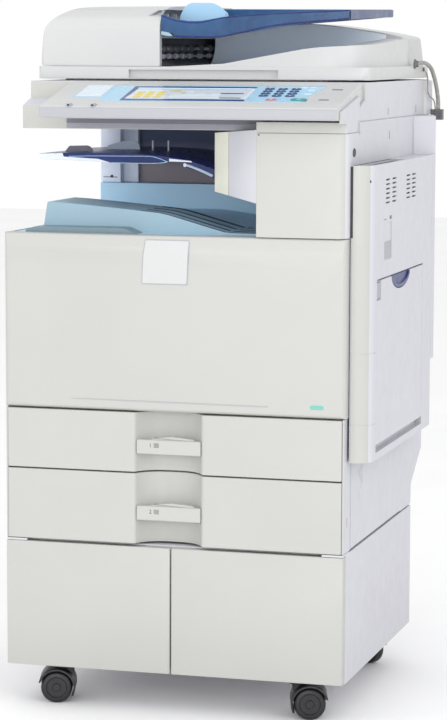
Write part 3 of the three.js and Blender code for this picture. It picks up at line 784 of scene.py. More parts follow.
# ------------------------------------------------------------------ front cover
def make_front_cover():
    """A hood with rounded edges, whose top leans back a little."""
    b = Box("front_cover")
    crease = b.z1 - 32
    profile = [(0, b.z0, 7), (b.y1, b.z0), (b.y1, b.z1), (3, b.z1, 3), (0, crease, 16)]
    plan = [(b.x0, 0, 10), (b.x1, 0, 10), (b.x1, b.y1), (b.x0, b.y1)]
    skin = shared(prism("x", profile, b.x0, b.x1), prism("z", plan, b.z0 - 1, b.z1 + 1, 7))
    hollow = block(b.x0 + 5, b.x1 - 5, 5, b.y1 + 1, b.z0 + 10, b.z1 - 5)
    body = "front_cover"
    piece("front_hood", carve(skin, hollow), "warm_white", body, [body], 0.8)

    line = [
        (110, b.z0 + 16.4), (270, b.z0 + 15), (430, b.z0 + 14.6), (430, b.z0 + 16), (270, b.z0 + 16.8),
        (110, b.z0 + 17),
    ]
    piece("front_hood_line", prism("y", line, -0.7, 1), "lip_white", body, edge=0.3)

    # A blank badge in two flats, which follows the lean, in a thin grey rim.
    def plate(grow, y0, y1):
        foot, head = b.z0 + 201 - grow, b.z1 - 7.5 + grow
        fold = [(229 - grow, crease), (300.5 + grow, crease)]
        low = prism("y", [(227 - grow, foot, 2), (299 + grow, foot, 2), *fold[::-1]], y0, y1)
        high = prism("y", [*fold, (302 + grow, head, 2), (232 - grow, head, 2)], y0, y1)
        lean = [Vector((p[0], p[1] + max(0, p[2] - crease) * 0.1, p[2])) for p in high[0]]
        return together(low, (lean, high[1]))

    piece("badge_rim", plate(1.3, -0.8, 0.6), "soft_grey", body, edge=0.2, slot="warm_white")
    piece("badge_plate", plate(0, -1.5, 0.2), "feeder_white", body, edge=0.4)
    sticker = pill("y", b.x1 - 45, b.z0 + 17, 11, 3.4, -0.15, 0.3)
    piece("front_hood_sticker", sticker, "sticker_teal", body, edge=0)
    ribs = [block(x, x + 2, 5.5, 20, b.z0 + 10, b.z1 - 6) for x in range(40, 540, 46)]
    piece("front_hood_ribs", ribs, "warm_white", body, edge=0.3)


# ------------------------------------------------------------------ doors on the right side
DOOR_WALL = 3


def make_right_door():
    b, tray = Box("right_door"), Box("bypass_tray")
    body = "right_door"

    def plan(x0, inset, reach):
        front, back = b.y0 + inset, b.y1 - inset
        return [(x0, front), (b.x1 - inset, front, reach), (b.x1 - inset, back, 3), (x0, back)]

    outer = prism("z", plan(b.x0, 0, 26), b.z0, b.z1, 6)
    inner = prism("z", plan(b.x0 - 1, DOOR_WALL, 23), b.z0 + DOOR_WALL, b.z1 - DOOR_WALL, 6)
    floor = block(566, b.x1 - 1, tray.y0 - 9, tray.y1 + 9, b.z0 + 1, tray.z1 + 9)
    slot = 10
    recess = block(tray.x0 - 0.6, b.x1 + 1, tray.y0 - 0.35, tray.y1 + 0.35, tray.z0 - slot, tray.z1 + 0.4)
    face = b.x1
    vents = []
    for y in (117, 163, 268, 310):
        vents += [pill("x", y + 15, b.z1 - 61 + row * 7.1, 15, 1.4, face - 4, face + 1) for row in range(6)]
    cuts = [
        block(face - 2, face + 1, 104, 124, b.z1 - 87.6, b.z1 - 85.8),
        block(face - 4, face + 1, 146, 161, b.z1 - 88, b.z1 - 82.5),
        block(face - 1.2, face + 1, 108, 160, b.z1 - 150, b.z1 - 92),
        prism(
            "z", [(562, 32), (578, 32, 8), (581, 60), (581, 286, 4), (562, 286)], b.z1 - DOOR_WALL - 1,
            b.z1 + 1,
        ),
    ]
    seams = [
        carve(
            block(b.x0 - 2, face + 1, b.y0 - 1, b.y0 + 42, z, z + 0.8),
            prism("z", plan(b.x0 - 3, 0.5, 25.5), z - 1, z + 2),
        )
        for z in (b.z0 + 58, b.z0 + 168)
    ]
    shell = carve(fuse(carve(outer, inner), floor), recess, *cuts, *vents, *seams)
    # The door's front-facing faces take the darker front tone: painted light.
    front = ("warm_white", faces_front)
    piece("side_door", shell, "cool_white", body, [body], 0.7, paint=[front])

    # A dark floor in the door's top grip and a dark strip at its mouth: painted shade inside the grip.
    grip = block(558, 582, 30, 288, b.z1 - 26, b.z1 - 22)
    piece("side_door_grip_shade", grip, "dark", body, edge=0.4)
    mouth = block(b.x0 + 1, b.x0 + 7, 26, 289, b.z1 - 0.9, b.z1 + 0.1)
    piece("side_door_grip_mouth_shadow", mouth, "dark", body, edge=0.1)
    backing = block(578, 581.8, 108, 348, b.z1 - 66, b.z1 - 18)
    piece("side_door_vent_backing", backing, "trim_grey", body, edge=0.4)
    label = block(face - 1.1, face - 0.5, 110, 158, b.z1 - 148, b.z1 - 122)
    piece("side_door_label", label, "soft_grey", body, edge=0.1)
    # Strips down the door's front edge, black above and grey below: painted shadow of the gap between the
    # door and the front cover.
    seal = block(b.x0 - 0.2, b.x0 + 3.4, b.y0 - 0.7, b.y0 + 3, 758, b.z1 - 1)
    piece("side_door_gap_shadow", seal, "dark", body, edge=0.4)
    low_seal = block(b.x0 + 0.4, b.x0 + 2.6, b.y0 - 0.3, b.y0 + 3, b.z0 + 2, 757)
    piece("side_door_low_gap_shadow", low_seal, "soft_grey", body, edge=0.3, slot="carriage_dark")
    rollers = [lathe("y", 560, b.z0 + 40, [(y, 5), (y + 22, 5)], 28) for y in range(90, 420, 60)]
    shaft = lathe("y", 560, b.z0 + 40, [(60, 2.5), (440, 2.5)], 20)
    piece("side_door_rollers", together(shaft, *rollers), "roller_grey", body, edge=0.3)


def make_bypass_tray():
    b = Box("bypass_tray")
    body = "bypass_tray"
    top, middle = b.z1 - 2.2, 234.5
    profile = [(b.x0, b.z0, 4.5), (b.x1, b.z0, 4.5), (b.x1, top, 1.5), (b.x0, top, 1)]

    def bowl(inset, rim):
        half = 70 - inset
        turns = [math.pi * k / 24 for k in range(1, 24)]
        arc = [(middle + half * math.cos(t), top - (24 - inset) * math.sin(t)) for t in turns]
        return [(middle + half, rim), *arc, (middle - half, rim)]

    notch = prism("x", bowl(0, top + 1), b.x1 - 6, b.x1 + 1)
    lever_well = block(b.x1 - 5, b.x1 + 1, b.y0 - 1, b.y0 + 31, top - 30, top + 1)
    shell = carve(prism("y", profile, b.y0, b.y1), notch, lever_well)
    piece("bypass_lid", shell, "cool_white", body, [body], 0.8)
    dish = carve(
        prism("x", bowl(1.4, top - 0.6), b.x1 - 6, b.x1 - 0.4),
        prism("x", bowl(7, top + 2), b.x1 - 3.4, b.x1 + 1),
    )
    piece("bypass_pull", dish, "pull_navy", body)
    lever = [
        (b.y0 + 3, top - 27, 2), (b.y0 + 28, top - 27, 6), (b.y0 + 28, top - 3, 2), (b.y0 + 3, top - 3, 2)
    ]
    piece("bypass_lever", prism("x", lever, b.x1 - 5, b.x1 - 0.6), "soft_grey", body, edge=0.9)


def make_lower_door():
    """The lower side door, with two facets sunk into it for a fingertip."""
    b = Box("lower_right_door")
    body = "lower_right_door"
    profile = [(b.x0, b.z0, 2), (b.x1, b.z0, 3), (b.x1, b.z1, 3), (b.x0, b.z1)]
    hollow = block(b.x0 - 1, b.x1 - 5, b.y0 + 4, b.y1 - 4, b.z0 + 5, b.z1 - 6)
    shell = carve(prism("y", profile, b.y0, b.y1), hollow)
    out, deep = b.x1 + 0.2, b.x1 - 4.4

    def facet(corners, bottom):
        tips = [(out, y, b.z0 + z) for y, z in corners]
        return [*tips, (deep, bottom[0], b.z0 + bottom[1])], [(0, 1, 2), (0, 1, 3), (1, 2, 3), (2, 0, 3)]

    low = facet([(62, 80), (120, 92), (120, 48)], (116, 84))
    high = facet([(72, 124), (118, 93), (122, 130)], (116, 106))
    piece("lower_side_door", carve(shell, low, high), "cool_white", body, [body], 0.7)
    slot = block(WIDTH_FACE - 0.4, WIDTH_FACE + 0.15, 23.4, 25, 311, 326)
    piece("side_slot_mark", slot, "seam_grey", edge=0)


# ------------------------------------------------------------------ output bay
def make_output_tray():
    """The paper rest, its blue painted with light and shade: lifted where the bay lies in shade, darker on
    the front rail's tops and front faces, and darker still on the low front wall, so the front faces are
    paler than it; dark lines down the front rail stand for the shade in its rib grooves.
    """
    slope = [(206, 790.6), (228, 788.5), (241, 786.8), (262, 781.8), (345, 759), (404, 758.6)]
    line = [(x, z - 0.8) for x, z in slope] + [(x, z + 0.35) for x, z in reversed(slope)]
    lines = [prism("y", line, y, y + depth) for y, depth in ((60.6, 5), (88, 10), (124, 11), (168, 14))]
    shape = cad_shape("output_tray")
    b = Box("output_tray")
    bed = 757
    # Front faces, rail tops and the low front wall take darker copies of the blue: painted shade.
    wall = ("rest_wall", lambda c, n: c.y < b.y0 + 30 and c.z > bed)
    front = ("bay_pale", lambda c, n: faces_front(c, n) and b.y0 + 30 < c.y < b.y0 + 45 or n.x < -0.7)
    rail = ("bay_deep", lambda c, n: c.y < 190 and n.z > 0.5 and c.z > bed)
    piece("paper_rest", shape, "bay_blue", hides=["output_tray"], edge=1.0, paint=[front, rail, wall])
    piece("paper_rest_groove_shade", lines, "line_navy", edge=0)
    stops = [pill("z", x, 380, 4, 16, 756.5, 759) for x in (352, 384)]
    piece("paper_rest_stops", stops, "bay_blue", edge=0.6)


def make_one_bin_tray():
    """The upper tray: a thin bent sheet with a deep skirt at the front and a pale hook; the pale strips at
    its tip and lip, the thin light lines along its front edge and the white posts are painted highlights.
    """
    b = Box("one_bin_tray")
    end = b.x1 - 0.5
    top = [(4, 874.3), (48, 876.2), (100, 877), (150, 876.4), (215, 872.4), (262, 864.4), (end, 853)]
    low = [
        (4, 865.8), (97, 863), (127, 860.8), (170, 860.4), (206, 861),
        (224, 864.6), (246, 863.6), (250, 856.4), (276, 848.6), (end, b.z0 + 0.2),
    ]
    sheet_top = [(p.x, p.z) for p in curve_through([(x, 0, z) for x, z in top], 5)]
    skirt = prism("y", low + sheet_top[::-1], b.y0, b.y0 + 3)
    plate = prism("y", sheet_top + [(x, z - 3) for x, z in reversed(sheet_top)], b.y0 + 2, b.y1 - 2)
    rear_low = [(4, 867), (69, 863), (150, 861), (215, 858), (262, 850), (end, b.z0 + 1)]
    rear = prism("y", rear_low + sheet_top[::-1], b.y1 - 3, b.y1)
    shape = fuse(fuse(skirt, plate), rear)
    upper = ("tray_navy", lambda c, n: n.z > 0.5)
    piece("upper_tray", shape, "deep_blue", hides=["one_bin_tray"], paint=[upper])

    # The pale strips at the tip and lip and the thin light lines along the front edge: painted highlights
    # on the clear tray's edges.
    front = b.y0 - 0.3
    tip = prism(
        "y", [(4, 865.9), (97, 863.1), (127, 860.9), (104, 867), (46, 869.8), (44, 875.6), (4, 874)],
        front, b.y0 + 0.2,
    )
    piece("upper_tray_tip_highlight", tip, "pale_edge", edge=0.1)
    line = [(55, 870.4), (100, 871.6), (150, 872), (190, 872.2), (206, 869.4), (222, 863.6)]
    piece("upper_tray_highlight_line", front_rod(front, line, 0.6, 8, 3), "guide_blue", edge=0)
    low_line = [(127, 861.2), (170, 860.8), (206, 861.4), (222, 864)]
    piece("upper_tray_low_highlight_line", front_rod(front, low_line, 0.6, 8, 3), "guide_blue", edge=0)
    lip = prism("y", [(224, 864.6), (250, 864), (262, 863.6), (262, 865.6), (224, 869)], front, b.y0 + 0.2)
    piece("upper_tray_lip_highlight", lip, "pale_edge", edge=0.1)
    hook = [(250, 859.6), (262, 856.4), (280, 849.6), (end - 2, 842.4)]
    piece("upper_tray_hook", front_rod(front, hook, 2.2, 12, 3), "hook_blue", edge=0)
    cap = pill("y", 251, 859.2, 2.6, 3.2, front - 2.4, front + 1)
    piece("upper_tray_hook_cap", cap, "screen_white", edge=0.6, slot="guide_blue")
    stop = prism("y", [(28, 873, 1), (38, 885.4, 2), (72, 886.4, 5), (78, 880, 3), (78, 874, 1)], 200, 203)
    piece("upper_tray_end_stop", stop, "inner_grey", edge=0.8)
    fence = prism(
        "y",
        [(64, 874, 1), (72, 883.4, 3), (97, 890.6, 8), (121, 891.6, 4), (126, 885, 3), (128, 874, 1)],
        300, 303,
    )
    piece("upper_tray_stop", fence, "hook_blue", edge=0.8)
    # Two short posts painted white: painted highlights on the tray's top.
    posts = [block(x, x + 2.6, 300, 304, 874, 892.4) for x in (147.8, 174.8)]
    piece("upper_tray_glint_posts", posts, "screen_white", edge=0.7, slot="guide_blue")


def two_tone(node, edge):
    """A CAD part whose front faces take a darker, warmer tone than its sides and back: painted light, as
    the lamps fall differently on the front and the sides.
    """
    front = ("warm_white", faces_front)
    piece(
        f"{node}_shell", cad_shape(node), "cool_white", hides=[node], edge=edge, paint=[front],
        slot="warm_white",
    )


def make_exit_cover():
    """The slanting cover of the exit in two painted tones of one plastic: a bright cream strip at its inner
    edge where it faces the light, then a paler lavender face in shade.
    """
    b = Box("exit_cover")
    # A thin groove at split parts the cover's faces so that they take the two painted tones.
    split = 336
    slanted = block(split - 0.3, split + 0.3, b.y0 - 1, 106.5, b.z0 - 1, b.z1 + 1)
    front_lit = ("exit_cream", lambda c, n: c.x < split and n.y < -0.3)
    piece(
        "exit_hood", carve(cad_shape("exit_cover"), slanted), "exit_pale", hides=["exit_cover"], edge=0.8,
        paint=[front_lit],
    )


def make_bay():
    b, rest = Box("bay_pillar"), Box("output_tray")
    exit_left = Box("exit_cover").x0
    # The back wall is drawn dark, turning navy towards the top: painted shade in the bay.
    back = block(b.x1 + 0.6, exit_left - 0.6, b.y1 - 3, b.y1 - 0.2, rest.z1 + 0.6, b.z1 - 0.2)
    piece("bay_back_panel", back, "bay_back", edge=0.4)
    face = b.y0
    heads, plates = [], []
    for z in (b.z0 + 10, b.z1 - 8):
        heads.append(lathe("y", 30, z, [(face - 1.4, 1.6), (face - 0.9, 2.4), (face + 0.1, 2.6)], 20))
        plates.append(block(15, 40, face - 0.5, face + 0.1, z - 2, z - 0.6))
    piece("pillar_screws", heads, "dark", edge=0)
    piece("pillar_brackets", plates, "seam_grey", edge=0.1)

    c = Box("column_cover")
    button = lathe(
        "x", 0, 0, [(c.x1 - 0.3, 7), (c.x1 + 0.5, 6.8), (c.x1 + 0.9, 5.4), (c.x1 + 0.5, 4.6)], 28
    )
    button = [Vector((p[0], 42 + p[1] * 1.5, 887 + p[2])) for p in button[0]], button[1]
    piece("column_button", button, "roller_grey", edge=0, slot="carriage_dark")
    dots = [lathe("y", 413, c.z1 - 3, [(c.y0 - 0.3, 1.5), (c.y0 + 0.4, 1.6)], 16),
            lathe("x", 78, c.z1 - 1.5, [(c.x1 - 0.2, 1.4), (c.x1 + 0.3, 1.3)], 16)]
    piece("column_dots", dots, "seam_grey", edge=0)
    rollers = [lathe("y", 303, 838, [(y, 5), (y + 16, 5)], 24) for y in range(180, 440, 48)]
    piece("exit_rollers", rollers, "roller_grey", edge=0.3)


# ------------------------------------------------------------------ scanner
WIDTH_FACE = Box("cabinet_shell").x1


def make_scanner():
    b, panel = Box("scanner_housing"), Box("operation_panel")
    face = WIDTH_FACE
    groove = block(face - 0.8, face + 1, 82, 546, 932.6, 933.6)
    shape = carve(cad_shape("scanner_housing"), groove)
    # The housing's front faces take the darker front tone: painted light.
    front = ("warm_white", lambda c, n: n.y < -0.7)
    piece(
        "scanner_case", shape, "cool_white", hides=["scanner_housing"], edge=1.2, paint=[front],
        slot="warm_white",
    )
    ticks = [block(face - 0.3, face + 0.2, y - 1, y + 1, 938, 950) for y in (288, 503)]
    ticks.append(block(face + 2.3, face + 2.75, 287, 289, 900, 913))
    piece("side_ticks", ticks, "seam_grey", edge=0)
    head = block(face + 0.2, face + 2.5, 82, 470, 916, 932.2)
    piece("column_head_strip", head, "cool_white", edge=0.3, slot="warm_white")
    left = Box("column_cover").x0 - 0.6
    # Under the panel's lip the housing's white front is drawn as grey bands, darkest just under the lip,
    # and a dark sheet lies under the panel: painted shade from the panel above.
    under = block(panel.x0, left, 84.6, 85.8, b.z0 + 1, 926.6)
    piece("scanner_front_shade", under, "trim_grey", edge=0.3)
    shadow = block(panel.x0, left, 84.4, 85.8, 927, 936)
    piece("scanner_front_shadow", shadow, "inner_grey", edge=0.3)
    ledge = block(panel.x0 + 6, left, -36, 84, 937.4, 938.4)
    piece("panel_underside_shade", ledge, "inner_grey", edge=0.3)
    rail = lathe("x", 300, 948, [(16, 4), (534, 4)], 20)
    piece("carriage_rail", rail, "metal", edge=0.3)
    glass_box = Box("platen_glass")
    scale = block(glass_box.x0, glass_box.x1, glass_box.y0 - 12, glass_box.y0 - 3, b.z1, b.z1 + 0.5)
    piece("size_scale", scale, "soft_grey", edge=0.1)


# ------------------------------------------------------------------ control panel
PANEL_EDGE = Vector((0, Box("operation_panel").y0, Box("operation_panel").z0 + 18))
OUT = -Vector(JOINTS["key_1_press"]["axis"])  # away from the panel's slope
LEAN = math.atan2(-OUT.y, OUT.z)
SLOPE = Matrix.Translation(PANEL_EDGE) @ Matrix.Rotation(LEAN, 4, "X")


def up(y):
    """How far up the slope the depth y is."""
    return (y - PANEL_EDGE.y) / math.cos(LEAN)


def on_slope(shape):
    """A shape drawn as (x, distance up the slope, height above it), put in place."""
    return turned(shape, SLOPE)


def key_spot(node):
    low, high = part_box(node)
    centre = ((low + high) / 2 - CORNER) / MM
    place = SLOPE.inverted() @ centre
    return place.x, place.y


def tiles(spots, height=0.35, base=0.1):
    return on_slope(together(*(pill("z", x, s, w / 2, d / 2, base, height) for x, s, w, d in spots)))


def make_panel():
    b = Box("operation_panel")
    # The lip's front faces take a darker copy of the white: painted shade.
    lip = ("lip_white", lambda c, n: n.y < -0.75)
    piece(
        "control_panel", cad_shape("operation_panel"), "feeder_white", hides=["operation_panel"],
        edge=1.4, paint=[lip],
    )

    s0, s1 = up(-9), up(84)
    left, right = 195.4, 387.6  # the screen's sides, and then its ends up the slope
    low, high = up(0), up(70)
    sheet = prism("z", [(160, s0, 2), (478, s0, 2), (499, s1, 2), (160, s1, 2)], -0.3, 0.5)
    screen_hole = block(191.6, 391.4, low - 3, high + 3, -1, 1)
    keys = [f"key_{name}" for name in [*"1234567890", "star", "hash"]]
    openings = {node: (8.1, 5.1) for node in keys} | {"start_key": (13, 7.4), "stop_key": (9, 5.3)}
    holes = [screen_hole, *(pill("z", *key_spot(node), *half, -1, 1) for node, half in openings.items())]
    piece("panel_sheet", on_slope(carve(sheet, *holes)), "panel_blue", edge=0.15)
    left_sheet = prism("z", [(108, up(13), 2), (159.6, up(13)), (159.6, s1), (116, s1, 2)], -0.3, 0.5)
    piece("panel_left_sheet", on_slope(left_sheet), "panel_blue", edge=0.15)
    window = on_slope(prism("z", rect(112, 156, up(16), up(80), 1), 0.4, 0.9))
    piece("panel_label_window", window, "panel_pale", edge=0.15)
    marks = [(134, high - k * 9, 34, 3.2) for k in range(6)]
    piece("panel_label_rows", tiles(marks, 1.05, 0.8), "screen_white", edge=0)
    lines = [block(x - 0.3, x + 0.3, up(16), up(80), 0.85, 1.0) for x in (113, 155)]
    piece("panel_label_lines", on_slope(together(*lines)), "soft_grey", edge=0)

    # The screen: a dark bezel, a pale page, a row of yellow signs and a dark bar.
    hole = block(left + 2.4, right - 2.4, low + 3.4, high - 3.4, -1, 2)
    bezel = carve(block(191.8, 391.2, low - 2.8, high + 2.8, -0.2, 0.9), hole)
    piece("screen_bezel", on_slope(bezel), "panel_pale", edge=0, slot="carriage_dark")
    edges = [block(left - 3, right + 3, s, s + 8, 0.85, 1.1) for s in (low - 6, high - 2)]
    side = [(left - 3, low + 1), (left + 1.6, low + 1), (left + 4.6, high - 1), (left - 3, high - 1)]
    rims = on_slope(together(*edges, prism("z", side, 0.8, 1.05)))
    piece("screen_dark_rims", rims, "screen_navy", edge=0.2)
    trim = block(161, 498, s1 + 0.2, s1 + 1.8, -0.2, 0.7)
    piece("panel_top_line", on_slope(trim), "soft_grey", edge=0.2, slot="carriage_dark")
    page = block(left + 2.4, right - 2.4, low + 3.4, high - 3.4, 0.22, 0.4)
    piece("screen_page", on_slope(page), "screen_white", edge=0)
    header = [(291, up(61), 182, 6)]
    piece("screen_header", tiles(header, 0.55, 0.35), "panel_blue", edge=0)
    signs = [(213 + 16.5 * (k % 3), up(15) + 13.6 * (k // 3), 13.5, 10.6) for k in range(9)]
    signs += [(266, up(50), 18, 8), (282, up(38), 10, 6)]
    piece("screen_signs", tiles(signs, 0.6, 0.35), "screen_yellow", edge=0)
    rows = [(304, up(34), 80, 5.4), (304, up(25), 80, 5.4), (304, up(16), 80, 5.4), (290, up(47), 14, 5)]
    piece("screen_rows", tiles(rows, 0.55, 0.35), "panel_pale", edge=0)
    bars = [(360, up(38), 38, 4.4), (364, up(12), 34, 4)]
    piece("screen_bars", tiles(bars, 0.6, 0.35), "screen_navy", edge=0)

    small = [(466, up(76), 9, 3), (480, up(76), 9, 3), (480, up(38), 12, 5), (480, up(60), 12, 5)]
    piece("function_keys", tiles(small, 1.0, 0.3), "panel_pale", edge=0.2)
    lamps = [(406, up(78), 6, 3), (416, up(78), 6, 3), (513, up(6), 16, 4.4), (520, up(66), 17, 4)]
    piece("panel_lamps", tiles(lamps, 0.7, -0.2), "inner_grey", edge=0.15, slot="cool_white")

    for node in openings:
        make_key(node)
    z = b.z0 + 20
    clips = [
        carve(
            pill("y", x, z, 4, 3.2, b.y0 + 0.1, b.y0 + 12), pill("y", x, z, 2.4, 1.7, b.y0 - 3, b.y0 + 16)
        )
        for x in (121.5, 160.5)
    ]
    piece("label_clips", clips, "soft_grey", edge=0.4)


def make_key(node):
    """A rounded cap on its own body, with a digit or a plain sign on it."""
    x, s = key_spot(node)
    sizes = {"start_key": (12, 6.5), "stop_key": (8, 4.5)}
    half_x, half_s = sizes.get(node, (7.5, 4.5))
    look = {"start_key": "key_green", "stop_key": "key_red"}.get(node, "key_navy")
    corners = rect(x - half_x, x + half_x, s - half_s, s + half_s, half_s * 0.95)
    cap = on_slope(prism("z", corners, -2.4, 1.4, 12))
    piece(f"cap_{node}", cap, look, node, [node], 0.7)
    if node == "start_key":
        shape = on_slope(prism("z", [(x, s - 3), (x + 4.5, s), (x, s + 3), (x - 4.5, s)], 1.2, 1.55))
        piece("start_sign", shape, "screen_white", node, edge=0)
    elif node == "stop_key":
        shape = on_slope(pill("z", x, s, 2.4, 1.6, 1.2, 1.55))
        piece("stop_sign", shape, "screen_white", node, edge=0)
    else:
        text = {"star": "*", "hash": "#"}.get(node.removeprefix("key_"), node[-1])
        spot = SLOPE @ Vector((x, s, 1.4))
        lettering(f"sign_{node}", text, 7, spot, LEAN, "screen_white", node)


# ------------------------------------------------------------------ document feeder
def make_feeder_cover():
    """The feed unit's cover: one smooth skin over the paper turn, open on its right side."""
    b = Box("adf_feed_cover")
    body = "adf_feed_cover"
    z0, right = b.z0, b.x1
    skin = [
        (b.x0, z0, 6), (6, z0 + 31, 12), (10, z0 + 61, 11), (27, z0 + 79, 11), (46, z0 + 91.5, 9),
        (72, z0 + 95.5, 14), (right, b.z1), (right, z0),
    ]
    hollow = [
        (9, z0 - 2), (14, z0 + 57.5), (31, z0 + 73.5), (49, z0 + 87), (74, z0 + 90.5),
        (right - 4, z0 + 92), (right - 4, z0 - 2),
    ]
    crown = [
        (b.y0, z0), (b.y0, b.z1 - 24, 16), (b.y0 + 44, b.z1 - 3.5, 24), (b.y0 + 150, b.z1, 40),
        (b.y1 - 14, b.z1, 10), (b.y1, b.z1 - 16, 10), (b.y1, z0),
    ]
    ends = [(b.x0, b.y0, 9), (right, b.y0, 0), (right, b.y1, 0), (b.x0, b.y1, 9)]
    outer = shared(prism("y", skin, b.y0, b.y1, 6), prism("z", ends, z0 - 1, b.z1 + 1))
    outer = shared(outer, prism("x", crown, b.x0 - 1, right + 1, 6))
    y0, y1, roof = b.y0 + 5, b.y1 - 5, b.z1 - 8
    inner_crown = [(y0, z0 - 3), (y0, b.z1 - 30), (b.y0 + 50, roof), (y1, roof), (y1, z0 - 3)]
    shell = carve(
        outer,
        shared(prism("y", hollow, y0, y1), prism("x", inner_crown, 0, right + 2)),
        block(right - 5, right + 1, b.y0 + 12, 500, z0 + 60.5, z0 + 90),
        block(right - 5, right + 1, b.y0 + 12, 500, z0 - 1, z0 + 44.5),
    )
    piece("feeder_lid", shell, "feeder_white", body, [body], 1.6)
    ribs = [block(40, right - 8, y, y + 2, z0 + 72, z0 + 84) for y in range(190, 590, 44)]
    piece("feeder_lid_ribs", ribs, "feeder_white", body, edge=0.3)
    guide = prism(
        "y", [(140, z0 + 58), (143, z0 + 57), (right - 5, z0 + 88.6), (right - 7, z0 + 89.8)], b.y0 + 14,
        498,
    )
    piece("feeder_entry_guide", guide, "soft_grey", body, edge=0.3)
    rollers = [lathe("y", 120, z0 + 62, [(y, 8), (y + 18, 8)], 28) for y in (260, 300, 340)]
    shaft = lathe("y", 120, z0 + 62, [(180, 3), (580, 3)], 16)
    piece("pickup_rollers", together(shaft, *rollers), "roller_grey", body, edge=0.4)


def make_feeder_bed():
    """The grey bed that the sheets land on: it curves up into the wall behind it."""
    b = Box("adf_base")
    wall, front, right = 473.4, b.y0 + 50, 504
    deck = [(207, 1015.2), (330, 1019.6), (400, 1025.5), (470, 1034.4), (right, 1038.6)]
    rim = [(207, 1078.6), (300, 1081.6), (380, 1084), (440, 1078), (497, 1068.6), (right, 1066.8)]

    def level(line, x):
        for (xa, za), (xb, zb) in zip(line, line[1:]):
            if x <= xb:
                return za + (zb - za) * (x - xa) / (xb - xa)
        return line[-1][1]

    rows = []
    for x in [207 + k * (right - 207) / 33 for k in range(34)]:
        low, high = level(deck, x), level(rim, x)
        reach = min(46, high - low - 4)
        row = [(x, front, low), (x, (front + wall) / 2, low)]
        for k in range(9):
            angle = math.pi / 2 * k / 8
            row.append((x, wall - reach + reach * math.sin(angle), low + reach - reach * math.cos(angle)))
        row.append((x, wall, high))
        rows.append(row)
    # The bed's colour is lifted near white: painted light where the document tray shades it.
    piece("feeder_bed", grid_solid(rows, (0, 0.3, -0.4)), "bed_grey", "adf", edge=0)


def make_exit_rollers():
    b = Box("adf_base")
    unit = block(190.2, 193, b.y0 + 27, 588, b.z0 + 21, 1060)
    piece("feeder_exit_wall", unit, "dark", "adf")
    guide = prism("y", [(193, 1016), (205, 1016), (205, 1019), (193, 1026)], b.y0 + 30, 498)
    piece("feeder_exit_guide", guide, "roller_grey", "adf", edge=0.4, slot="carriage_dark")
    upper, lower = (198.5, 1043), (198.5, 1031)  # the two shafts' x and z
    top, low = [], []
    for y in (190, 228, 266, 304, 342, 400, 458):
        top.append(lathe("y", *upper, [(y, 5.5), (y + 1.5, 6.5), (y + 12.5, 6.5), (y + 14, 5.5)], 28))
        low.append(lathe("y", *lower, [(y, 4.4), (y + 14, 4.4)], 24))
    shafts = [lathe("y", *place, [(176, r), (498, r)], 16) for place, r in ((upper, 2.4), (lower, 1.8))]
    piece("feeder_exit_rollers", top, "roller_grey", "adf", edge=0.3)
    piece("feeder_pinch_rollers", together(*low, *shafts), "soft_grey", "adf", edge=0.2, slot="frame_steel")


def make_document_tray():
    b = Box("document_tray")
    left, right = b.x0, b.x1
    skirt = [
        (left, 1067, 2), (228, 1061, 16), (309, 1061, 40), (398, 1079, 50), (
            right, 1089, 2
        ), (right, 1105, 3),
        (373, 1099, 40), (309, 1094, 18), (270, 1086, 19), (233, 1089, 17), (left, 1098, 4),
    ]
    plate = [
        (left, 1079), (300, 1079, 20), (373, 1090, 20), (right, 1096), (right, 1101), (373, 1094, 20),
        (300, 1083, 20), (left, 1083),
    ]
    rail = [
        (left + 8, 1080), (300, 1080), (373, 1091), (right, 1097), (right, 1109, 3), (left + 8, 1110, 3)
    ]
    shape = fuse(
        fuse(prism("y", skirt, b.y0, b.y0 + 4, 5), prism("y", plate, b.y0 + 3, b.y1 - 3, 6)),
        prism("y", rail, b.y1 - 4, b.y1),
    )
    body = "document_tray"
    piece("document_rest", shape, "clear_blue", body, [body], 1.0)
    face = b.y0 - 0.3
    bead = [(left + 2, 1096), (232, 1087.6), (270, 1084.6), (309, 1092), (373, 1097.4), (right - 3, 1103.4)]
    piece("document_rest_bead", front_rod(face, bead, 1.0, 10), "deep_blue", body, edge=0)
    low = [(228, 1063), (268, 1062.4), (309, 1063), (398, 1080.6), (right - 3, 1090.6)]
    piece("document_rest_low_bead", front_rod(face, low, 1.2, 10), "deep_blue", body, edge=0)
    # A pale patch at the skirt's left end: a painted highlight.
    corner = prism(
        "y",
        [(left + 0.5, 1066, 1), (224, 1062, 6), (228, 1066, 2), (220, 1069, 4), (left + 0.5, 1071, 1)],
        b.y0 - 0.5, b.y0 + 0.4,
    )
    piece("document_rest_corner_highlight", corner, "bay_pale", body, edge=0.3)
    end = prism(
        "x", [(b.y0, 1089, 1), (b.y1, 1097, 1), (b.y1, 1108.6, 1), (b.y0, 1104.8, 1)], right - 2.6,
        right + 0.2,
    )
    piece("document_rest_end", end, "end_blue", body, edge=0.7)
    ribs = [
        prism("y", [(310, 1085, 2), (505, 1100.5, 2), (505, 1103, 1), (310, 1090, 2)], y, y + 2.5)
        for y in (220, 270, 340, 400)
    ]
    piece("document_rest_ribs", ribs, "clear_blue", body, edge=0.4)
    for place in ("front", "rear"):
        make_guide(place)


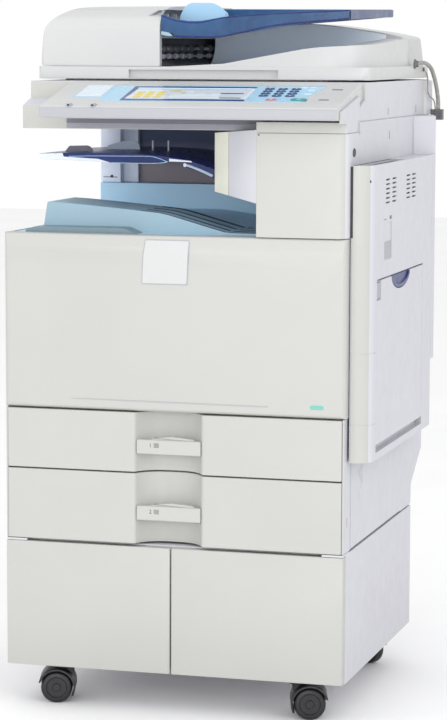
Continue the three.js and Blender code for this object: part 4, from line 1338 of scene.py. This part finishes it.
def make_guide(place):
    """A side guide: a round-topped fence on the tray's outer side, and its foot."""
    node = f"document_guide_{place}"
    b = Box(node)
    flat = (b.x1 - b.x0 - 26) / 2.2
    fence = [
        (b.x0, b.z0, 1), (b.x0, 1096, 5), (b.x0 + 11, b.z1, min(12, flat)),
        (b.x1 - 15, b.z1, min(14, flat)), (b.x1, 1102, 5), (b.x1, b.z0, 1),
    ]
    y0 = b.y0 if place == "front" else b.y1 - 5
    foot_y = (b.y0 + 4, b.y1) if place == "front" else (b.y0, b.y1 - 4)
    shape = fuse(prism("y", fence, y0, y0 + 5, 5), block(b.x0, b.x1, *foot_y, b.z0, b.z0 + 2.4))
    piece(f"{node}_fence", shape, "guide_blue", node, [node], 1.3)


def make_feeder_underside():
    b, pane = Box("adf_base"), Box("platen_glass")
    outline = rect(pane.x0 - 4, pane.x1 + 4, pane.y0 - 4, pane.y1 + 4, 4)
    pad = prism("z", outline, b.z0 - 2.4, b.z0 + 0.1)
    piece("platen_pad", pad, "foam_white", "adf", edge=0.6)
    hinges = [block(x, x + 34, b.y1 - 26, b.y1 - 4, b.z1 - 90.4, b.z1 - 84) for x in (70, 440)]
    piece("feeder_hinge_covers", hinges, "soft_grey", "adf", edge=1.2)


CABLE = [(554.2, 487, 1019), (556, 508, 1020.5), (559.3, 531, 1020), (562, 554, 1015), (564.5, 568, 1006),
         (566.5, 581, 991), (568, 593, 972), (568.5, 600, 955), (568.5, 602, 939)]
WIRE = [(551.6, 560, 1009), (557.5, 558, 1000), (560, 552, 985), (560, 552, 973), (561, 567, 963),
        (562.5, 588, 958), (563.5, 597, 950), (563.5, 602, 939)]


def make_cables():
    """The feeder's signal cable and earth wire, held at both ends and laid at rest; they are tied to no
    body.
    """
    for name, route, radius in (("feeder_cable", CABLE, 3.5), ("feeder_earth_wire", WIRE, 1.2)):
        cord = piece(name, tube(route, radius, 16 if radius > 2 else 10), "cable_grey", edge=0)
        cord.parent = None
        del cord["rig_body"]
        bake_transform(cord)
        if radius > 2:
            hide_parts("adf_cable")
    z0 = Box("adf_cable").z0
    plug = carve(
        block(557, 577, 595, 608, z0, z0 + 18),
        *[block(556, 578, 594, 595.6, z0 + 4 + 5 * k, z0 + 5.6 + 5 * k) for k in range(3)],
        *[block(x, x + 1.4, 594, 595.8, z0 - 1, z0 + 19) for x in (562, 571)],
    )
    piece("feeder_plug", plug, "plug_grey", edge=0.7)
    boot = lathe("x", 487, 1019, [(550.2, 8), (552, 8), (553.5, 6), (557, 5)], 24)
    piece("feeder_cable_boot", boot, "plug_grey", "adf", edge=0.3)
    clamp = lathe("x", 560, 1009, [(550.2, 3.4), (552.4, 3.2)], 20)
    piece("feeder_wire_clamp", clamp, "plug_grey", "adf", edge=0.3)


# ------------------------------------------------------------------ back
def make_back():
    b = Box("rear_cover")
    face = b.y1
    rows = [
        pill("y", x, z, 24, 1.6, face - 2.4, face + 1)
        for x in (110, 170, 230)
        for z in range(600, 690, 9)
    ]
    ring = [
        block(330, 470, face - 1.2, face + 1, 640, 641.5),
        block(330, 470, face - 1.2, face + 1, 838.5, 840),
    ]
    ring += [block(x, x + 1.5, face - 1.2, face + 1, 641, 839) for x in (330, 468.5)]
    shape = carve(cad_shape("rear_cover"), *rows, *ring)
    piece("back_cover", shape, "cool_white", hides=["rear_cover"], edge=0.8)
    low_side = block(548.8, 551.4, 476, 579, 482, 523)
    piece("low_side_cover", low_side, "cool_white", edge=0.8)
    pins = [block(x, x + 2, face - 11, face - 3, 506, 512) for x in (66, 73, 80)]
    piece("power_inlet_pins", pins, "metal", edge=0.4)
    rim = carve(
        prism("y", rect(57, 91, 497, 523, 2), face - 2.0, face),
        block(60, 88, face - 4, face + 2, 500, 520),
    )
    piece("power_inlet_rim", rim, "dark", edge=0.4)
    heads = [lathe("y", x, z, [(face - 0.2, 4), (face + 0.9, 3.6), (face + 1.2, 2.2)], 24)
             for x in (24, 526) for z in (505, 700, 900)]
    piece("back_screws", heads, "metal", edge=0)
    left = Box("left_cover")
    slots = [
        block(left.x0 - 0.15, left.x0 + 0.4, y, y + 90, 566 + 8 * k, 568.4 + 8 * k)
        for y in (120, 330)
        for k in range(9)
    ]
    piece("left_vents", slots, "seam_grey", edge=0)


# ------------------------------------------------------------------ stage and light
def make_stage():
    data = bpy.data.meshes.new("floor")
    half = 12.0
    data.from_pydata(rect(-half, half, -half, half), [], [(0, 1, 2, 3)])
    floor = new_object("floor", data)
    n = Nodes("floor_paint")
    n.feed(Base_Color=n.ramp(n.noise(2, 3), (0.90, 0.90, 0.905), (0.92, 0.92, 0.92)))
    n.set(Roughness=0.8)
    data.materials.append(n.material)


def add_area(name, place, target, size, power, colour=(1, 1, 1)):
    data = bpy.data.lights.new(name, "AREA")
    data.shape = "RECTANGLE"
    data.size, data.size_y = size
    data.energy = power
    data.color = colour
    light = new_object(name, data)
    light.location = place
    aim = Vector(target) - Vector(place)
    light.rotation_euler = aim.to_track_quat("-Z", "Y").to_euler()


def make_lights():
    world = bpy.data.worlds.new("world")
    world.use_nodes = True
    world.node_tree.nodes["Background"].inputs["Color"].default_value = (1, 1, 1, 1)
    world.node_tree.nodes["Background"].inputs["Strength"].default_value = 1.0
    SCENE.world = world
    SCENE.view_settings.view_transform = "Standard"
    add_area("key", (3.2, -2.6, 2.6), (0.1, 0, 0.6), (2.5, 2.5), 44, (0.97, 0.97, 1.0))
    add_area("fill", (-3.2, -2.6, 1.9), (0, 0, 0.7), (2.5, 2.5), 18, (1.0, 0.99, 0.95))
    add_area("front", (0.4, -4.6, 1.25), (0, 0, 0.8), (2.4, 1.8), 66)
    add_area("top", (0, -0.5, 3.6), (0, 0, 0.8), (3, 3), 6)


make_camera()
make_stage()
make_lights()
finish_cad_nodes()
make_drawer_front(1)
make_drawer_front(2)
make_cabinet_details()
make_casters()
two_tone("feed_unit_housing", 1.0)
two_tone("column_cover", 1.0)
make_exit_cover()
make_front_cover()
make_right_door()
make_bypass_tray()
make_lower_door()
make_output_tray()
make_one_bin_tray()
make_bay()
make_scanner()
make_panel()
make_feeder_cover()
make_feeder_bed()
make_exit_rollers()
make_document_tray()
make_feeder_underside()
make_cables()
make_back()
